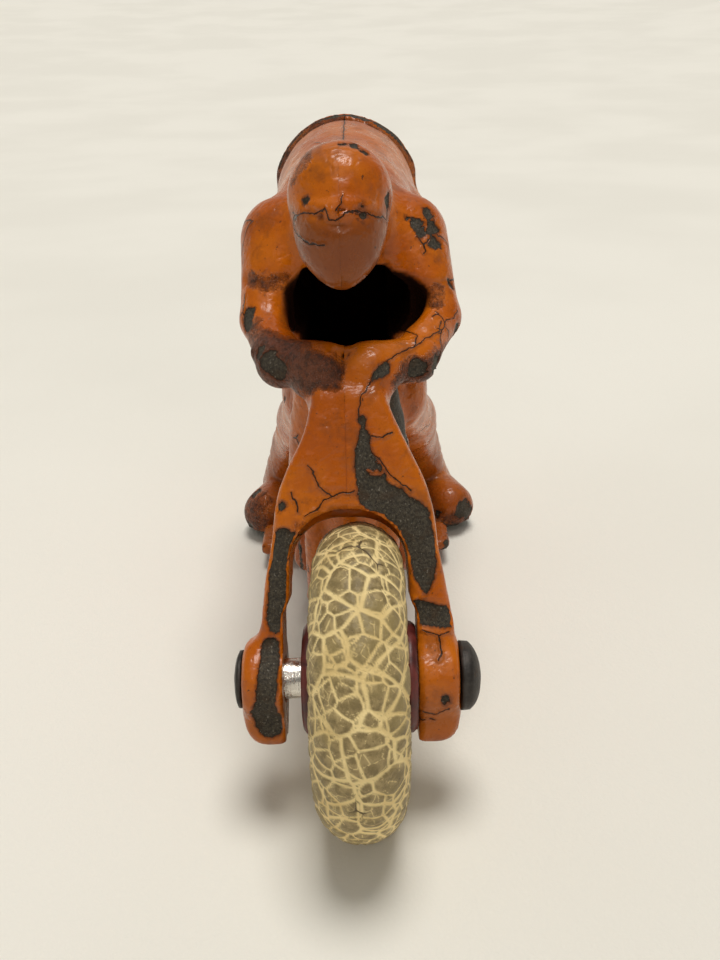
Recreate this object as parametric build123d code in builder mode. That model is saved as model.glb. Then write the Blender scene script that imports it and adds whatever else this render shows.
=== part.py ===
"""Cast-iron toy motorcycle with a crouching rider, 106 mm long.

Two hollow iron castings, left and right, meet on the plane Y = 0 and are held together
by three steel rivets. Each casting carries one half of the rider, of the engine and of
the frame, one leg of the front fork and one cheek of the rear frame. At each end a rubber
tyre on a painted wooden hub runs on a headed steel axle, peened over on the right.

Frame: millimetres, +X forward, +Y to the rider's left, +Z up. The origin is on the floor,
midway between the axles.
"""

from build123d import *
import os
from math import asin, cos, radians, sin

# ---- driving dimensions -------------------------------------------------------------
wheelbase = 74.0
tyre_radius = 16.0
tyre_width = 9.3
axle_radius = 2.1
running_clearance = 0.06  # radial, between an axle and its holes
end_clearance = 0.05  # along Y, between faces that slide
hub_width = 11.5
hub_core_radius = 4.3
hub_flange_radius = 5.65
hub_edge_radius = 0.4
cheek_inner = 6.7  # |Y| of the faces on each side of a wheel
cheek_outer = 11.0
axle_head = (3.55, 0.6, 1.7)  # radius, height of the rim, height of the cap on it
axle_peen = (3.0, 0.3, 0.7)
fork_rake = 24.0  # degrees back from upright
fork_depth = 4.8
fork_top = 30.0  # up the fork from the axle
fork_bottom = -6.4
wall = 1.8
well_gap = 1.7  # from the tread to the wheel well
sole_height = 0.5  # the boots hang this far above the floor
rivet_radius = 1.5
rivet_fit = 0.02
rivet_boss_radius = 3.2
rivet_head = (2.5, 0.2, 0.9)

# Each rivet: its place in X and Z, and the |Y| of the flat pad under its head.
rivets = {
    "rivet_engine": (2.0, 15.0, 8.2),
    "rivet_saddle": (-21.5, 42.0, 7.2),
    "rivet_torso": (-4.0, 54.0, 8.9),
}

# ---- worked out from them -----------------------------------------------------------
front_x = wheelbase / 2
rear_x = -wheelbase / 2
axle_z = tyre_radius
wheel_rest_y = cheek_inner - hub_width / 2 - end_clearance  # against the left cheek
well_radius = tyre_radius + well_gap
bore_radius = axle_radius + running_clearance
beyond = 30.0  # a length that passes right through the toy's width

fork_plane = Plane(
    origin=(front_x, 0, axle_z),
    x_dir=(0, 1, 0),
    z_dir=(cos(radians(fork_rake)), 0, sin(radians(fork_rake))),
)


def limb(start, start_radius, end, end_radius):
    """Adds a round-ended cone from start to end, its side tangent to both end balls."""
    along = Vector(*end) - Vector(*start)
    length = along.length
    slope = asin((start_radius - end_radius) / length)
    first = (start_radius * sin(slope), start_radius * cos(slope))
    last = (length + end_radius * sin(slope), end_radius * cos(slope))
    before = (slope - radians(90)) / 2
    after = (slope + radians(90)) / 2
    side = along.cross(Vector(0.3, 1, 0))
    with BuildSketch(Plane(origin=start, x_dir=along, z_dir=side)) as profile:
        with BuildLine():
            ThreePointArc(
                (-start_radius, 0),
                (start_radius * sin(before), start_radius * cos(before)),
                first,
            )
            Line(first, last)
            ThreePointArc(
                last,
                (length + end_radius * sin(after), end_radius * cos(after)),
                (length + end_radius, 0),
            )
            Line((length + end_radius, 0), (-start_radius, 0))
        make_face()
    revolve(profile.sketch, axis=Axis(start, along))


def limbs(joints):
    """Adds a limb between each joint, (x, y, z, radius), and the next."""
    for near, far in zip(joints, joints[1:]):
        limb(near[:3], near[3], far[:3], far[3])


def tube(sections, mode=Mode.ADD):
    """Adds a loft through upright ellipses, each (x, half width, lowest z, highest z)."""
    faces = []
    for x, half_width, low, high in sections:
        place = Plane(origin=(x, 0, (low + high) / 2), x_dir=(0, 1, 0), z_dir=(1, 0, 0))
        with BuildSketch(place) as section:
            Ellipse(half_width, (high - low) / 2)
        faces.append(section.sketch)
    loft(faces, mode=mode)


def slab(points, half_width, corner, mode=Mode.ADD):
    """Adds a side outline in X and Z with rounded corners, half_width thick each way."""
    with BuildSketch(Plane.XZ) as outline:
        with BuildLine():
            Polyline(*points, close=True)
        make_face()
        fillet(outline.vertices(), corner)
    extrude(outline.sketch, amount=half_width, both=True, mode=mode)


def bar(start, end, radius, inner, outer):
    """Adds a flat bar with round ends between two (x, z) places, |Y| inner to outer."""
    along = Vector(*end) - Vector(*start)
    centre = (Vector(*start) + Vector(*end)) * 0.5
    turn = Vector(1, 0, 0).get_signed_angle(along)
    with BuildSketch(Plane.XZ.offset(-outer)) as outline:
        with Locations(Location((centre.X, centre.Y), turn)):
            SlotCenterToCenter(along.length, 2 * radius)
    extrude(outline.sketch, amount=outer - inner)


def disc(x, z, radius, outer, inner=0.0, mode=Mode.ADD):
    """Adds or cuts a round bar along Y, from |Y| inner to outer."""
    with BuildSketch(Plane.XZ.offset(-outer)) as outline:
        with Locations((x, z)):
            Circle(radius)
    extrude(outline.sketch, amount=outer - inner, mode=mode)


def wheel_well(x):
    """Cuts the space that a wheel turns and slides in, round under its fender."""
    with BuildSketch() as profile:
        with BuildLine():
            Polyline((0, 0), (0, cheek_inner), (7.2, cheek_inner), (8.6, 6.1), (12.0, 6.0))
            ThreePointArc((12.0, 6.0), (16.0, 4.45), (well_radius, 0))
            Line((well_radius, 0), (0, 0))
        make_face()
        mirror(about=Plane.XZ)
    place = Plane(origin=(x, 0, axle_z))
    revolve(place * profile.sketch, axis=Axis((x, 0, axle_z), (0, 1, 0)), mode=Mode.SUBTRACT)


def cap_middle(radius, height):
    """The point halfway along the arc of a shallow round cap, from its axis to its rim."""
    ball = (radius**2 + height**2) / (2 * height)
    half = asin(radius / ball) / 2
    return ball * sin(half), height - ball + ball * cos(half)


def headed_pin(x, z, radius, reach, head, peen):
    """Adds a pin along Y, domed on the left and peened over on the right.

    reach is the |Y| of the faces that its two ends bear on. head and peen are each a
    radius, the height of the rim, and the height of the cap on it.
    """
    head_across, head_up = cap_middle(head[0], head[2])
    peen_across, peen_up = cap_middle(peen[0], peen[2])
    left_rim = reach + head[1]
    right_rim = -reach - peen[1]
    with BuildSketch(Plane(origin=(x, 0, z), x_dir=(1, 0, 0), z_dir=(0, 0, 1))) as profile:
        with BuildLine():
            Line((0, right_rim - peen[2]), (0, left_rim + head[2]))
            ThreePointArc(
                (0, left_rim + head[2]), (head_across, left_rim + head_up), (head[0], left_rim)
            )
            Polyline((head[0], left_rim), (head[0], reach), (radius, reach))
            Polyline((radius, reach), (radius, -reach), (peen[0], -reach), (peen[0], right_rim))
            ThreePointArc(
                (peen[0], right_rim), (peen_across, right_rim - peen_up), (0, right_rim - peen[2])
            )
        make_face()
    revolve(profile.sketch, axis=Axis((x, 0, z), (0, 1, 0)))


# ---- left casting: everything on the left of Y = 0 -------------------------------------
# Joints of the rider's left side, (x, y, z, radius).
hip = (-17.0, 6.8, 49.0, 7.0)
knee = (6.0, 4.9, 34.4, 4.2)
ankle = (-24.2, 9.8, 15.0, 4.2)
heel = (-29.6, 12.4, 4.7, 4.2)
toe = (-21.1, 15.9, 4.4, 4.1)
shoulder = (6.5, 6.6, 54.2, 5.3)
elbow = (13.2, 9.5, 46.8, 2.6)
wrist = (20.3, 6.9, 44.5, 2.4)
hand = (23.5, 1.6, 44.8, 2.4)
crown, crown_radius = (19.2, 0, 61.0), 5.2
chin, chin_radius = (22.8, 0, 57.1), 3.7

with BuildPart() as body_left:
    # Rider: back and hips, neck and head, then the limbs of the left side.
    tube(
        [
            (11.0, 6.0, 49.5, 61.0),
            (4.0, 8.2, 48.4, 63.6),
            (-5.0, 8.7, 47.0, 64.6),
            (-12.0, 9.6, 45.5, 66.4),
            (-18.0, 9.8, 44.5, 66.6),
            (-24.0, 8.4, 45.0, 63.5),
            (-28.0, 4.6, 47.5, 57.5),
        ]
    )
    limb((8.0, 0, 57.5), 5.2, (17.5, 0, 59.0), 4.4)
    limb(crown, crown_radius, chin, chin_radius)
    limbs([hip, knee, ankle, heel, toe])
    limbs([shoulder, elbow, wrist, hand, (hand[0], -hand[1], hand[2], hand[3])])

    # Tank, saddle, and the engine case and frame under them.
    tube([(13.0, 7.0, 29.5, 39.0), (5.0, 7.6, 29.5, 41.0), (-8.0, 6.6, 30.0, 41.5), (-18.0, 4.5, 32, 40)])
    slab([(-8, 49), (-8, 38), (-27, 37), (-30, 42), (-26, 49)], half_width=6.4, corner=2.0)
    slab([(8.5, 54), (10.5, 36), (-20, 36), (-20, 54)], half_width=6.8, corner=1.5)
    frame_outline = [(17.5, 39), (14.5, 9), (9, 4), (-9, 4), (-18, 8), (-18, 26), (-26, 37), (-20, 41)]
    slab(frame_outline, half_width=5.4, corner=2.0)
    disc(2.0, 15.0, radius=7.4, outer=7.4)
    disc(-8.5, 15.0, radius=5.6, outer=7.4)

    # Two cylinders in a V, each with four fins.
    for foot_x, lean in ((4.5, -22.0), (-1.5, 22.0)):
        up = (-sin(radians(lean)), 0, cos(radians(lean)))
        barrel = Plane(origin=(foot_x, 0, 21.5), x_dir=(0, 1, 0), z_dir=up)
        for step in range(4):
            with BuildSketch(barrel.offset(1.6 * step)) as fin:
                RectangleRounded(14.0, 7.6, 2.0)
            extrude(fin.sketch, amount=0.8)

    # Exhaust pipe along the side, and the footboard under the boot.
    limbs([(5.0, 6.2, 21.0, 1.2), (6.5, 7.0, 11.5, 1.2), (-14.0, 7.4, 9.8, 1.3), (-33.0, 9.6, 9.0, 1.8)])
    with BuildSketch(Plane.XY.offset(2.6)) as footboard:
        with Locations((-12.0, 9.0)):
            RectangleRounded(7.0, 11.8, 1.2)
    extrude(footboard.sketch, amount=1.8)

    # Fork: both legs and the crown are one flat forging, leaning back.
    with BuildSketch(fork_plane.offset(-fork_depth / 2)) as fork:
        with BuildLine():
            Polyline((0, fork_top), (4.3, fork_top), (4.6, 27.5))
            Spline((4.6, 27.5), (5.4, 24.6), (7.5, 19.6), (8.5, 13.5), (9.5, 7.5), (10.4, 3.2))
            Polyline((10.4, 3.2), (cheek_outer, 1.4), (cheek_outer, -4.3))
            ThreePointArc((cheek_outer, -4.3), (10.3, -5.8), (8.8, fork_bottom))
            Polyline((8.8, fork_bottom), (0, fork_bottom), (0, fork_top))
        make_face()
        mirror(about=Plane.YZ)
    extrude(fork.sketch, amount=fork_depth)
    limb((23.6, 0, 38.4), 3.8, (12.0, 0, 36.5), 4.4)

    # Rear: a fender over the wheel, from low in front to no further back than the tyre.
    fender_start, fender_sweep = 15.0, 130.0
    outward = (cos(radians(fender_start)), 0, sin(radians(fender_start)))
    upward = (-sin(radians(fender_start)), 0, cos(radians(fender_start)))
    with BuildSketch() as fender:
        with BuildLine():
            Polyline((well_radius - 6, 0), (well_radius - 6, 7.3), (12.5, 7.3))
            ThreePointArc((12.5, 7.3), (17.3, 5.2), (well_radius + wall, 0))
            Line((well_radius + wall, 0), (well_radius - 6, 0))
        make_face()
        mirror(about=Plane.XZ)
    rim = Plane(origin=(rear_x, 0, axle_z), x_dir=outward, z_dir=upward)
    rear_spin = Axis((rear_x, 0, axle_z), (0, 1, 0))
    revolve(rim * fender.sketch, axis=rear_spin, revolution_arc=-fender_sweep)

    # Stays from the rear axle to the engine case and to the saddle, and a thick round eye
    # for each axle.
    stay_inner, stay_outer = cheek_inner - 0.6, 8.8
    for foot in ((-17.0, 10.0), (-23.0, 38.0)):
        bar((rear_x, axle_z), foot, 2.4, stay_inner, stay_outer)
    for x, eye_radius in ((front_x, 4.2), (rear_x, 4.6)):
        disc(x, axle_z, eye_radius, cheek_outer, inner=stay_inner)

    # Hollow: the chest and hips open forward between the arms and down into the tank, the
    # tank opens forward beside the steering head, and the engine case opens below.
    tube(
        [
            (15.0, 5.6, 49.0, 56.0),
            (4.0, 6.4, 50.4, 61.4),
            (-5.0, 6.9, 49.2, 62.6),
            (-14.0, 7.7, 48.0, 64.4),
            (-22.0, 6.4, 48.0, 61.5),
        ],
        mode=Mode.SUBTRACT,
    )
    tube([(16.0, 5.6, 31.0, 37.2), (5.0, 5.8, 31.3, 39.2), (-8.0, 4.8, 31.8, 39.7)], mode=Mode.SUBTRACT)
    tank_top = [(16, 52), (15, 43.5), (6, 37), (-14, 36), (-17, 52)]
    slab(tank_top, half_width=5.0, corner=1.5, mode=Mode.SUBTRACT)
    case_outline = [(12.5, 37), (11.5, 2), (-15, 2), (-15.5, 26), (-19, 37)]
    slab(case_outline, half_width=5.4 - wall, corner=1.5, mode=Mode.SUBTRACT)
    wheel_well(front_x)
    wheel_well(rear_x)

    # Rivet bosses, each ending in a pad that is spot-faced for the head, then the rivet
    # and axle holes.
    for x, z, pad in rivets.values():
        disc(x, z, rivet_boss_radius, pad)
    for x, z, pad in rivets.values():
        disc(x, z, rivet_boss_radius, beyond, inner=pad, mode=Mode.SUBTRACT)
        disc(x, z, rivet_radius, beyond, mode=Mode.SUBTRACT)
    for x in (front_x, rear_x):
        disc(x, axle_z, bore_radius, beyond, mode=Mode.SUBTRACT)

    # Flat soles, and the flat face where the two castings meet.
    split(bisect_by=Plane.XY.offset(sole_height), keep=Keep.TOP)
    split(bisect_by=Plane.XZ, keep=Keep.BOTTOM)

# ---- right casting: the same shape on the other side -----------------------------------
with BuildPart() as body_right:
    mirror(body_left.part, about=Plane.XZ)

# ---- rivets that hold the castings together --------------------------------------------
rivet_parts = {}
for name, (x, z, pad) in rivets.items():
    with BuildPart() as rivet:
        headed_pin(x, z, rivet_radius - rivet_fit, pad, rivet_head, rivet_head)
    rivet_parts[name] = rivet.part

# ---- axles, hubs and tyres, front and rear ---------------------------------------------
wheel_parts = {}
for end, x in (("front", front_x), ("rear", rear_x)):
    spin = Axis((x, 0, axle_z), (0, 1, 0))
    place = Plane(origin=(x, wheel_rest_y, axle_z))

    with BuildPart() as axle:
        headed_pin(x, axle_z, axle_radius, cheek_outer + end_clearance, axle_head, axle_peen)
    wheel_parts[f"{end}_axle"] = axle.part

    with BuildPart() as hub:
        with BuildSketch(place) as profile:
            with BuildLine():
                Polyline(
                    (bore_radius, 0),
                    (hub_core_radius, 0),
                    (hub_core_radius, tyre_width / 2),
                    (hub_flange_radius, tyre_width / 2),
                    (hub_flange_radius, hub_width / 2),
                    (bore_radius, hub_width / 2),
                    close=True,
                )
            make_face()
            outer_edge = profile.vertices().group_by(Axis.Y)[-1].sort_by(Axis.X)[-1]
            fillet(outer_edge, hub_edge_radius)
            mirror(about=Plane.XZ)
        revolve(profile.sketch, axis=spin)
    wheel_parts[f"{end}_hub"] = hub.part

    with BuildPart() as tyre:
        side, shoulder_radius = tyre_width / 2, tyre_radius - tyre_width / 2
        with BuildSketch(place) as profile:
            with BuildLine():
                Polyline((shoulder_radius, -side), (hub_core_radius, -side))
                Polyline((hub_core_radius, -side), (hub_core_radius, side), (shoulder_radius, side))
                ThreePointArc((shoulder_radius, side), (tyre_radius, 0), (shoulder_radius, -side))
            make_face()
        revolve(profile.sketch, axis=spin)
    wheel_parts[f"{end}_tyre"] = tyre.part

# ---- write every piece -----------------------------------------------------------------
os.makedirs("parts", exist_ok=True)
body_left.part.label = "body_left"
export_step(body_left.part, "parts/body_left.step")
body_right.part.label = "body_right"
export_step(body_right.part, "parts/body_right.step")
for name, piece in {**rivet_parts, **wheel_parts}.items():
    piece.label = name
    export_step(piece, f"parts/{name}.step")
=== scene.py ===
"""Looks of the cast-iron toy motorcycle: enamelled castings, crazed tyres, painted hubs, steel pins.

The two castings are sculpted here as signed distances on a grid, in millimetres, over the
same joints and outlines as the CAD model, and meshed. Enamel, chips and cracks are worked
out on the meshes in the same frame, +X forward, +Y to the rider's left, +Z up.
"""

import math
from itertools import product

import bmesh
import bpy
import numpy as np
import openvdb
from mathutils import Matrix, Vector


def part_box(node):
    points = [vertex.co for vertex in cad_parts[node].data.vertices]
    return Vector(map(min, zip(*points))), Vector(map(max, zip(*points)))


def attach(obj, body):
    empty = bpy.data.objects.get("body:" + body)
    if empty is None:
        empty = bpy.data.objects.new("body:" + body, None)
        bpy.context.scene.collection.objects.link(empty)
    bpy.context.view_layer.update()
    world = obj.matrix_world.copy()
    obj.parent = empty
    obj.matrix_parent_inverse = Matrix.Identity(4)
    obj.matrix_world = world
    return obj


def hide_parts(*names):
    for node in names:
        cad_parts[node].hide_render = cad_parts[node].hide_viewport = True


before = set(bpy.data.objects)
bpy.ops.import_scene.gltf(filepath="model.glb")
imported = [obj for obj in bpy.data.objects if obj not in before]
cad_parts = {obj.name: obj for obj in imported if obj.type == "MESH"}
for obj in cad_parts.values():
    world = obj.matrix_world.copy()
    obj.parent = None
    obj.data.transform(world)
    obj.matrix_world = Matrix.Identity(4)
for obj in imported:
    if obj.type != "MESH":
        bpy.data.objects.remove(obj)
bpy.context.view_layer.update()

MM = 0.001

# ---- sizes read from the frame, in millimetres --------------------------------------
tyre_low, tyre_high = (np.array(c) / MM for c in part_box("front_tyre"))
hub_low, hub_high = (np.array(c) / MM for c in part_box("front_hub"))
front_x = (tyre_low[0] + tyre_high[0]) / 2
rear_x = -front_x
axle_z = (tyre_low[2] + tyre_high[2]) / 2
tyre_radius = (tyre_high[2] - tyre_low[2]) / 2
tyre_width = tyre_high[1] - tyre_low[1]
wheel_y = (tyre_low[1] + tyre_high[1]) / 2
hub_radius = (hub_high[2] - hub_low[2]) / 2
hub_width = hub_high[1] - hub_low[1]

cheek_inner, cheek_outer = 6.7, 11.0
axle_radius, bore_radius = 2.1, 2.16
hub_seat_radius, tyre_sink = 4.3, 1.2  # the tyre's floor lies tyre_sink below the hub's rims
well_radius = tyre_radius + 1.7
fork_half_depth = 2.4
enamel = 0.24  # thickness of the paint
seam_gap = 0.004  # from the middle plane to each half
FAR = 5.0  # the distance given to space away from any shape


def cos_sin(degrees):
    return math.cos(math.radians(degrees)), math.sin(math.radians(degrees))


rake_cos, rake_sin = cos_sin(24.0)


# ---- numbers on arrays ----------------------------------------------------------------
def smooth_min(a, b, soft):
    if soft <= 0:
        return np.minimum(a, b)
    h = np.clip(0.5 + 0.5 * (b - a) / soft, 0, 1)
    return b + (a - b) * h - soft * h * (1 - h)


def smooth_max(a, b, soft):
    return -smooth_min(-a, -b, soft)


def ramp(value, low, high):
    """0 below low, 1 above high, smooth between."""
    t = np.clip((value - low) / (high - low), 0, 1)
    return t * t * (3 - 2 * t)


def bell(distance, width):
    """1 at distance 0, falling away within about width."""
    return np.exp(-((distance / width) ** 2))


LATTICE = 32
lattices = {}


def lumps(x, y, z, size, seed):
    """Smooth noise from -1 to 1 whose lumps are about size across."""
    if seed not in lattices:
        cells = np.random.default_rng(seed).uniform(-1, 1, (LATTICE,) * 3)
        lattices[seed] = cells.astype(np.float32)
    table = lattices[seed]
    low, part = [], []
    for v in (x, y, z):
        cell = np.floor(v / size)
        t = v / size - cell
        low.append(cell.astype(np.int32) % LATTICE)
        part.append(t * t * (3 - 2 * t))
    total = 0
    for corner in product((0, 1), repeat=3):
        weight = math.prod(t if bit else 1 - t for bit, t in zip(corner, part))
        total = total + table[tuple((start + bit) % LATTICE for start, bit in zip(low, corner))] * weight
    return total


def turbulence(x, y, z, size, seed):
    """Lumps of size, of half of it and of a quarter, added up to between -1 and 1."""
    scales = (1.0, 0.5, 0.25)
    return sum(s * lumps(x, y, z, size * s, seed + i) for i, s in enumerate(scales)) / sum(scales)


# ---- signed distances -----------------------------------------------------------------
# Each shape is (low corner, high corner, distance function of x, y, z).
def ball_cone(a, ra, b, rb):
    """A round-ended cone between two balls."""
    a, b = np.array(a, float), np.array(b, float)
    along = b - a
    length2 = along @ along
    slope = ra - rb
    a2 = length2 - slope * slope

    def distance(x, y, z):
        p = (x - a[0], y - a[1], z - a[2])
        run = p[0] * along[0] + p[1] * along[1] + p[2] * along[2]
        beyond = run - length2
        x2 = sum((p[i] * length2 - along[i] * run) ** 2 for i in range(3))
        y2, z2 = run * run * length2, beyond * beyond * length2
        k = np.sign(slope) * slope * slope * x2
        end = np.sqrt(x2 + z2) / length2 - rb
        start = np.sqrt(x2 + y2) / length2 - ra
        side = (np.sqrt(x2 * a2 / length2) + run * slope) / length2 - ra
        near_end = np.sign(beyond) * a2 * z2 > k
        near_start = np.sign(run) * a2 * y2 < k
        return np.where(near_end, end, np.where(near_start, start, side))

    r = max(ra, rb)
    return np.minimum(a, b) - r, np.maximum(a, b) + r, distance


def egg(centre, radii, pitch=0.0):
    """An ellipsoid, pitched nose down about Y by pitch degrees."""
    c, s = cos_sin(pitch)
    centre, radii = np.array(centre, float), np.array(radii, float)

    def distance(x, y, z):
        dx, dy, dz = x - centre[0], y - centre[1], z - centre[2]
        p = (dx * c - dz * s, dy, dx * s + dz * c)
        k0 = np.sqrt(sum((p[i] / radii[i]) ** 2 for i in range(3)))
        k1 = np.sqrt(sum((p[i] / radii[i] ** 2) ** 2 for i in range(3)))
        return k0 * (k0 - 1) / np.maximum(k1, 1e-6)

    r = radii.max()
    return centre - r, centre + r, distance


def block(centre, half, round_by, yaw=0.0, pitch=0.0):
    """A box with rounded edges, turned by yaw about Z, then pitched nose down about its Y."""
    cy, sy = cos_sin(yaw)
    cp, sp = cos_sin(pitch)
    centre = np.array(centre, float)

    def distance(x, y, z):
        dx, dy, dz = x - centre[0], y - centre[1], z - centre[2]
        fx, fy = dx * cy + dy * sy, -dx * sy + dy * cy
        p = (fx * cp - dz * sp, fy, fx * sp + dz * cp)
        q = [np.abs(p[i]) - half[i] + round_by for i in range(3)]
        outside = np.sqrt(sum(np.maximum(v, 0) ** 2 for v in q))
        return outside + np.minimum(np.maximum(np.maximum(q[0], q[1]), q[2]), 0) - round_by

    r = math.sqrt(sum(h * h for h in half))
    return centre - r, centre + r, distance


def polygon_distance(u, v, points):
    """Distance in a plane to a closed outline, negative inside."""
    best = np.full(np.broadcast(u, v).shape, 1e9, np.float32)
    inside = np.zeros(best.shape, bool)
    for (ax, ay), (bx, by) in zip(points, points[1:] + points[:1]):
        ex, ey = bx - ax, by - ay
        t = np.clip(((u - ax) * ex + (v - ay) * ey) / (ex * ex + ey * ey), 0, 1)
        best = np.minimum(best, (u - ax - ex * t) ** 2 + (v - ay - ey * t) ** 2)
        if ay != by:
            crossing = ax + (v - ay) * ex / ey
            inside ^= ((ay > v) != (by > v)) & (u < crossing)
    return np.where(inside, -1, 1) * np.sqrt(best)


def thick(flat, across, half, round_by):
    """A flat distance given thickness: half each way across, with rounded edges."""
    q0, q1 = flat + round_by, np.abs(across) - half + round_by
    outside = np.sqrt(np.maximum(q0, 0) ** 2 + np.maximum(q1, 0) ** 2)
    return outside + np.minimum(np.maximum(q0, q1), 0) - round_by


def side_plate(points, inner, outer, round_by):
    """A side outline in X and Z, standing between |Y| inner and outer."""
    middle, half = (inner + outer) / 2, (outer - inner) / 2
    xs, zs = zip(*points)

    def distance(x, y, z):
        return thick(polygon_distance(x, z, points), y - middle, half, round_by)

    return (min(xs), inner, min(zs)), (max(xs), outer, max(zs)), distance


def side_disc(x0, z0, radius, inner, outer, round_by):
    """A disc facing sideways, between |Y| inner and outer."""
    middle, half = (inner + outer) / 2, (outer - inner) / 2

    def distance(x, y, z):
        flat = np.sqrt((x - x0) ** 2 + (z - z0) ** 2) - radius
        return thick(flat, y - middle, half, round_by)

    return (x0 - radius, inner, z0 - radius), (x0 + radius, outer, z0 + radius), distance


def curve(points, steps=6):
    """A smooth open line through points, each stretch cut into steps."""
    p = [np.array(q, float) for q in points]
    p = [2 * p[0] - p[1]] + p + [2 * p[-1] - p[-2]]
    line = []
    for a, b, c, d in zip(p, p[1:], p[2:], p[3:]):
        for i in range(steps):
            t = i / steps
            line.append(
                0.5 * (2 * b + (c - a) * t + (2 * a - 5 * b + 4 * c - d) * t * t)
                + 0.5 * (3 * b - a - 3 * c + d) * t**3
            )
    line.append(p[-2])
    return [tuple(q) for q in line]


class Clay:
    """A block of space sampled on a grid, holding a signed distance, negative inside."""

    def __init__(self, low, high, step):
        self.low, self.step = np.array(low, float), step
        count = np.ceil((np.array(high, float) - self.low) / step).astype(int) + 1
        self.axes = [(self.low[i] + step * np.arange(count[i])).astype(np.float32) for i in range(3)]
        self.field = np.full(count, FAR, np.float32)

    def grid(self, cut=(slice(None),) * 3):
        """x, y and z over a part of the block, shaped to broadcast."""
        x, y, z = (axis[part] for axis, part in zip(self.axes, cut))
        return x[:, None, None], y[None, :, None], z[None, None, :]

    def window(self, low, high, margin):
        """The part of the block within margin of a box, and its x, y and z."""
        ends = [np.searchsorted(axis, (a - margin, b + margin)) for axis, a, b in zip(self.axes, low, high)]
        cut = tuple(slice(*pair) for pair in ends)
        return cut, *self.grid(cut)

    def add(self, shapes, soft=0.0):
        """Adds a shape, or each of a list of shapes."""
        for low, high, distance in shapes if isinstance(shapes, list) else [shapes]:
            cut, x, y, z = self.window(low, high, soft + 2.0)
            self.field[cut] = smooth_min(self.field[cut], distance(x, y, z), soft)

    def cut(self, shapes, soft=0.0):
        for low, high, distance in shapes if isinstance(shapes, list) else [shapes]:
            cut, x, y, z = self.window(low, high, soft + 2.0)
            self.field[cut] = smooth_max(self.field[cut], -distance(x, y, z), soft)


def tube(sections, round_by):
    """A body of upright ellipses, each (x, half width, lowest z, highest z)."""
    stations = [(x, w, (a + b) / 2, (b - a) / 2) for x, w, a, b in sorted(sections)]
    line = np.array(curve(stations, 8))

    def distance(x, y, z):
        width, middle, height = (np.interp(x, line[:, 0], line[:, i]) for i in (1, 2, 3))
        dz = z - middle
        k0 = np.sqrt((y / width) ** 2 + (dz / height) ** 2)
        k1 = np.sqrt((y / width**2) ** 2 + (dz / height**2) ** 2)
        flat = k0 * (k0 - 1) / np.maximum(k1, 1e-6)
        ends = np.abs(x - (line[0, 0] + line[-1, 0]) / 2)
        return thick(flat, ends, (line[-1, 0] - line[0, 0]) / 2, round_by)

    top = max(b for _, _, _, b in sections)
    bottom = min(a for _, _, a, _ in sections)
    wide = max(w for _, w, _, _ in sections)
    return (line[0, 0], -wide, bottom), (line[-1, 0], wide, top), distance


def round_profile(x0, points, reach, first=None, last=None):
    """A (radius, |Y|) outline turned about the axle at x0, between two angles if given."""

    def distance(x, y, z):
        dx, dz = x - x0, z - axle_z
        flat = polygon_distance(np.sqrt(dx * dx + dz * dz), np.abs(y), points)
        if first is not None:
            (c0, s0), (c1, s1) = cos_sin(first), cos_sin(last)
            flat = smooth_max(flat, dx * s0 - dz * c0, 1.2)
            flat = smooth_max(flat, dz * c1 - dx * s1, 1.2)
        return flat

    wide = max(p[1] for p in points)
    return (x0 - reach, -wide, axle_z - reach), (x0 + reach, wide, axle_z + reach), distance


def arc_through(start, middle, end, steps=8):
    """Points along the circle through three points, from start to end."""
    (ax, ay), (bx, by), (cx, cy) = start, middle, end
    d = 2 * (ax * (by - cy) + bx * (cy - ay) + cx * (ay - by))
    a2, b2, c2 = ax * ax + ay * ay, bx * bx + by * by, cx * cx + cy * cy
    ox = (a2 * (by - cy) + b2 * (cy - ay) + c2 * (ay - by)) / d
    oy = (a2 * (cx - bx) + b2 * (ax - cx) + c2 * (bx - ax)) / d
    radius = math.hypot(ax - ox, ay - oy)
    first, last = math.atan2(ay - oy, ax - ox), math.atan2(cy - oy, cx - ox)
    turn = (last - first + math.pi) % (2 * math.pi) - math.pi
    turns = [first + turn * i / steps for i in range(steps + 1)]
    return [(ox + radius * math.cos(t), oy + radius * math.sin(t)) for t in turns]


# ---- the fork's own plane: across, up from the axle, and out of its front face ----------
def fork_frame(x, y, z):
    dx, dz = x - front_x, z - axle_z
    return y, dz * rake_cos - dx * rake_sin, dx * rake_cos + dz * rake_sin


def fork_point(u, v):
    """The place (x, y, z) of a point on the fork's front face."""
    x = front_x + fork_half_depth * rake_cos - v * rake_sin
    return x, u, axle_z + fork_half_depth * rake_sin + v * rake_cos


def fork_shape():
    """The fork, drawn a little to the left above its feet, with rounded faces on its legs."""
    outline = [(-3, 29.6), (2.9, 29.6), (3.7, 28.9), (4.0, 27.9)]
    outline += curve([(4.0, 27.9), (5.1, 24.7), (7.5, 19.6), (8.5, 13.5), (9.5, 7.5), (10.4, 3.2)])[1:]
    outline += [(cheek_outer - 0.1, 1.4), (cheek_outer, -1.5)]
    outline += arc_through((cheek_outer, -4.3), (10.3, -5.8), (8.8, -6.4), 5) + [(-3, -6.4)]

    def distance(x, y, z):
        u, v, n = fork_frame(x, y, z)
        u = u - 0.65 * ramp(v, 2.0, 6.0) * (1 - 0.7 * ramp(v, 24, 31))
        crowned = n + 0.035 * (np.abs(u) - 8.2) ** 2 * ramp(v, 17, 12)
        return thick(polygon_distance(np.abs(u), v, outline), crowned, fork_half_depth, 0.95)

    return (front_x - 15.5, -cheek_outer, 7.5), (front_x + 6.5, cheek_outer, 45.5), distance


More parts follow.
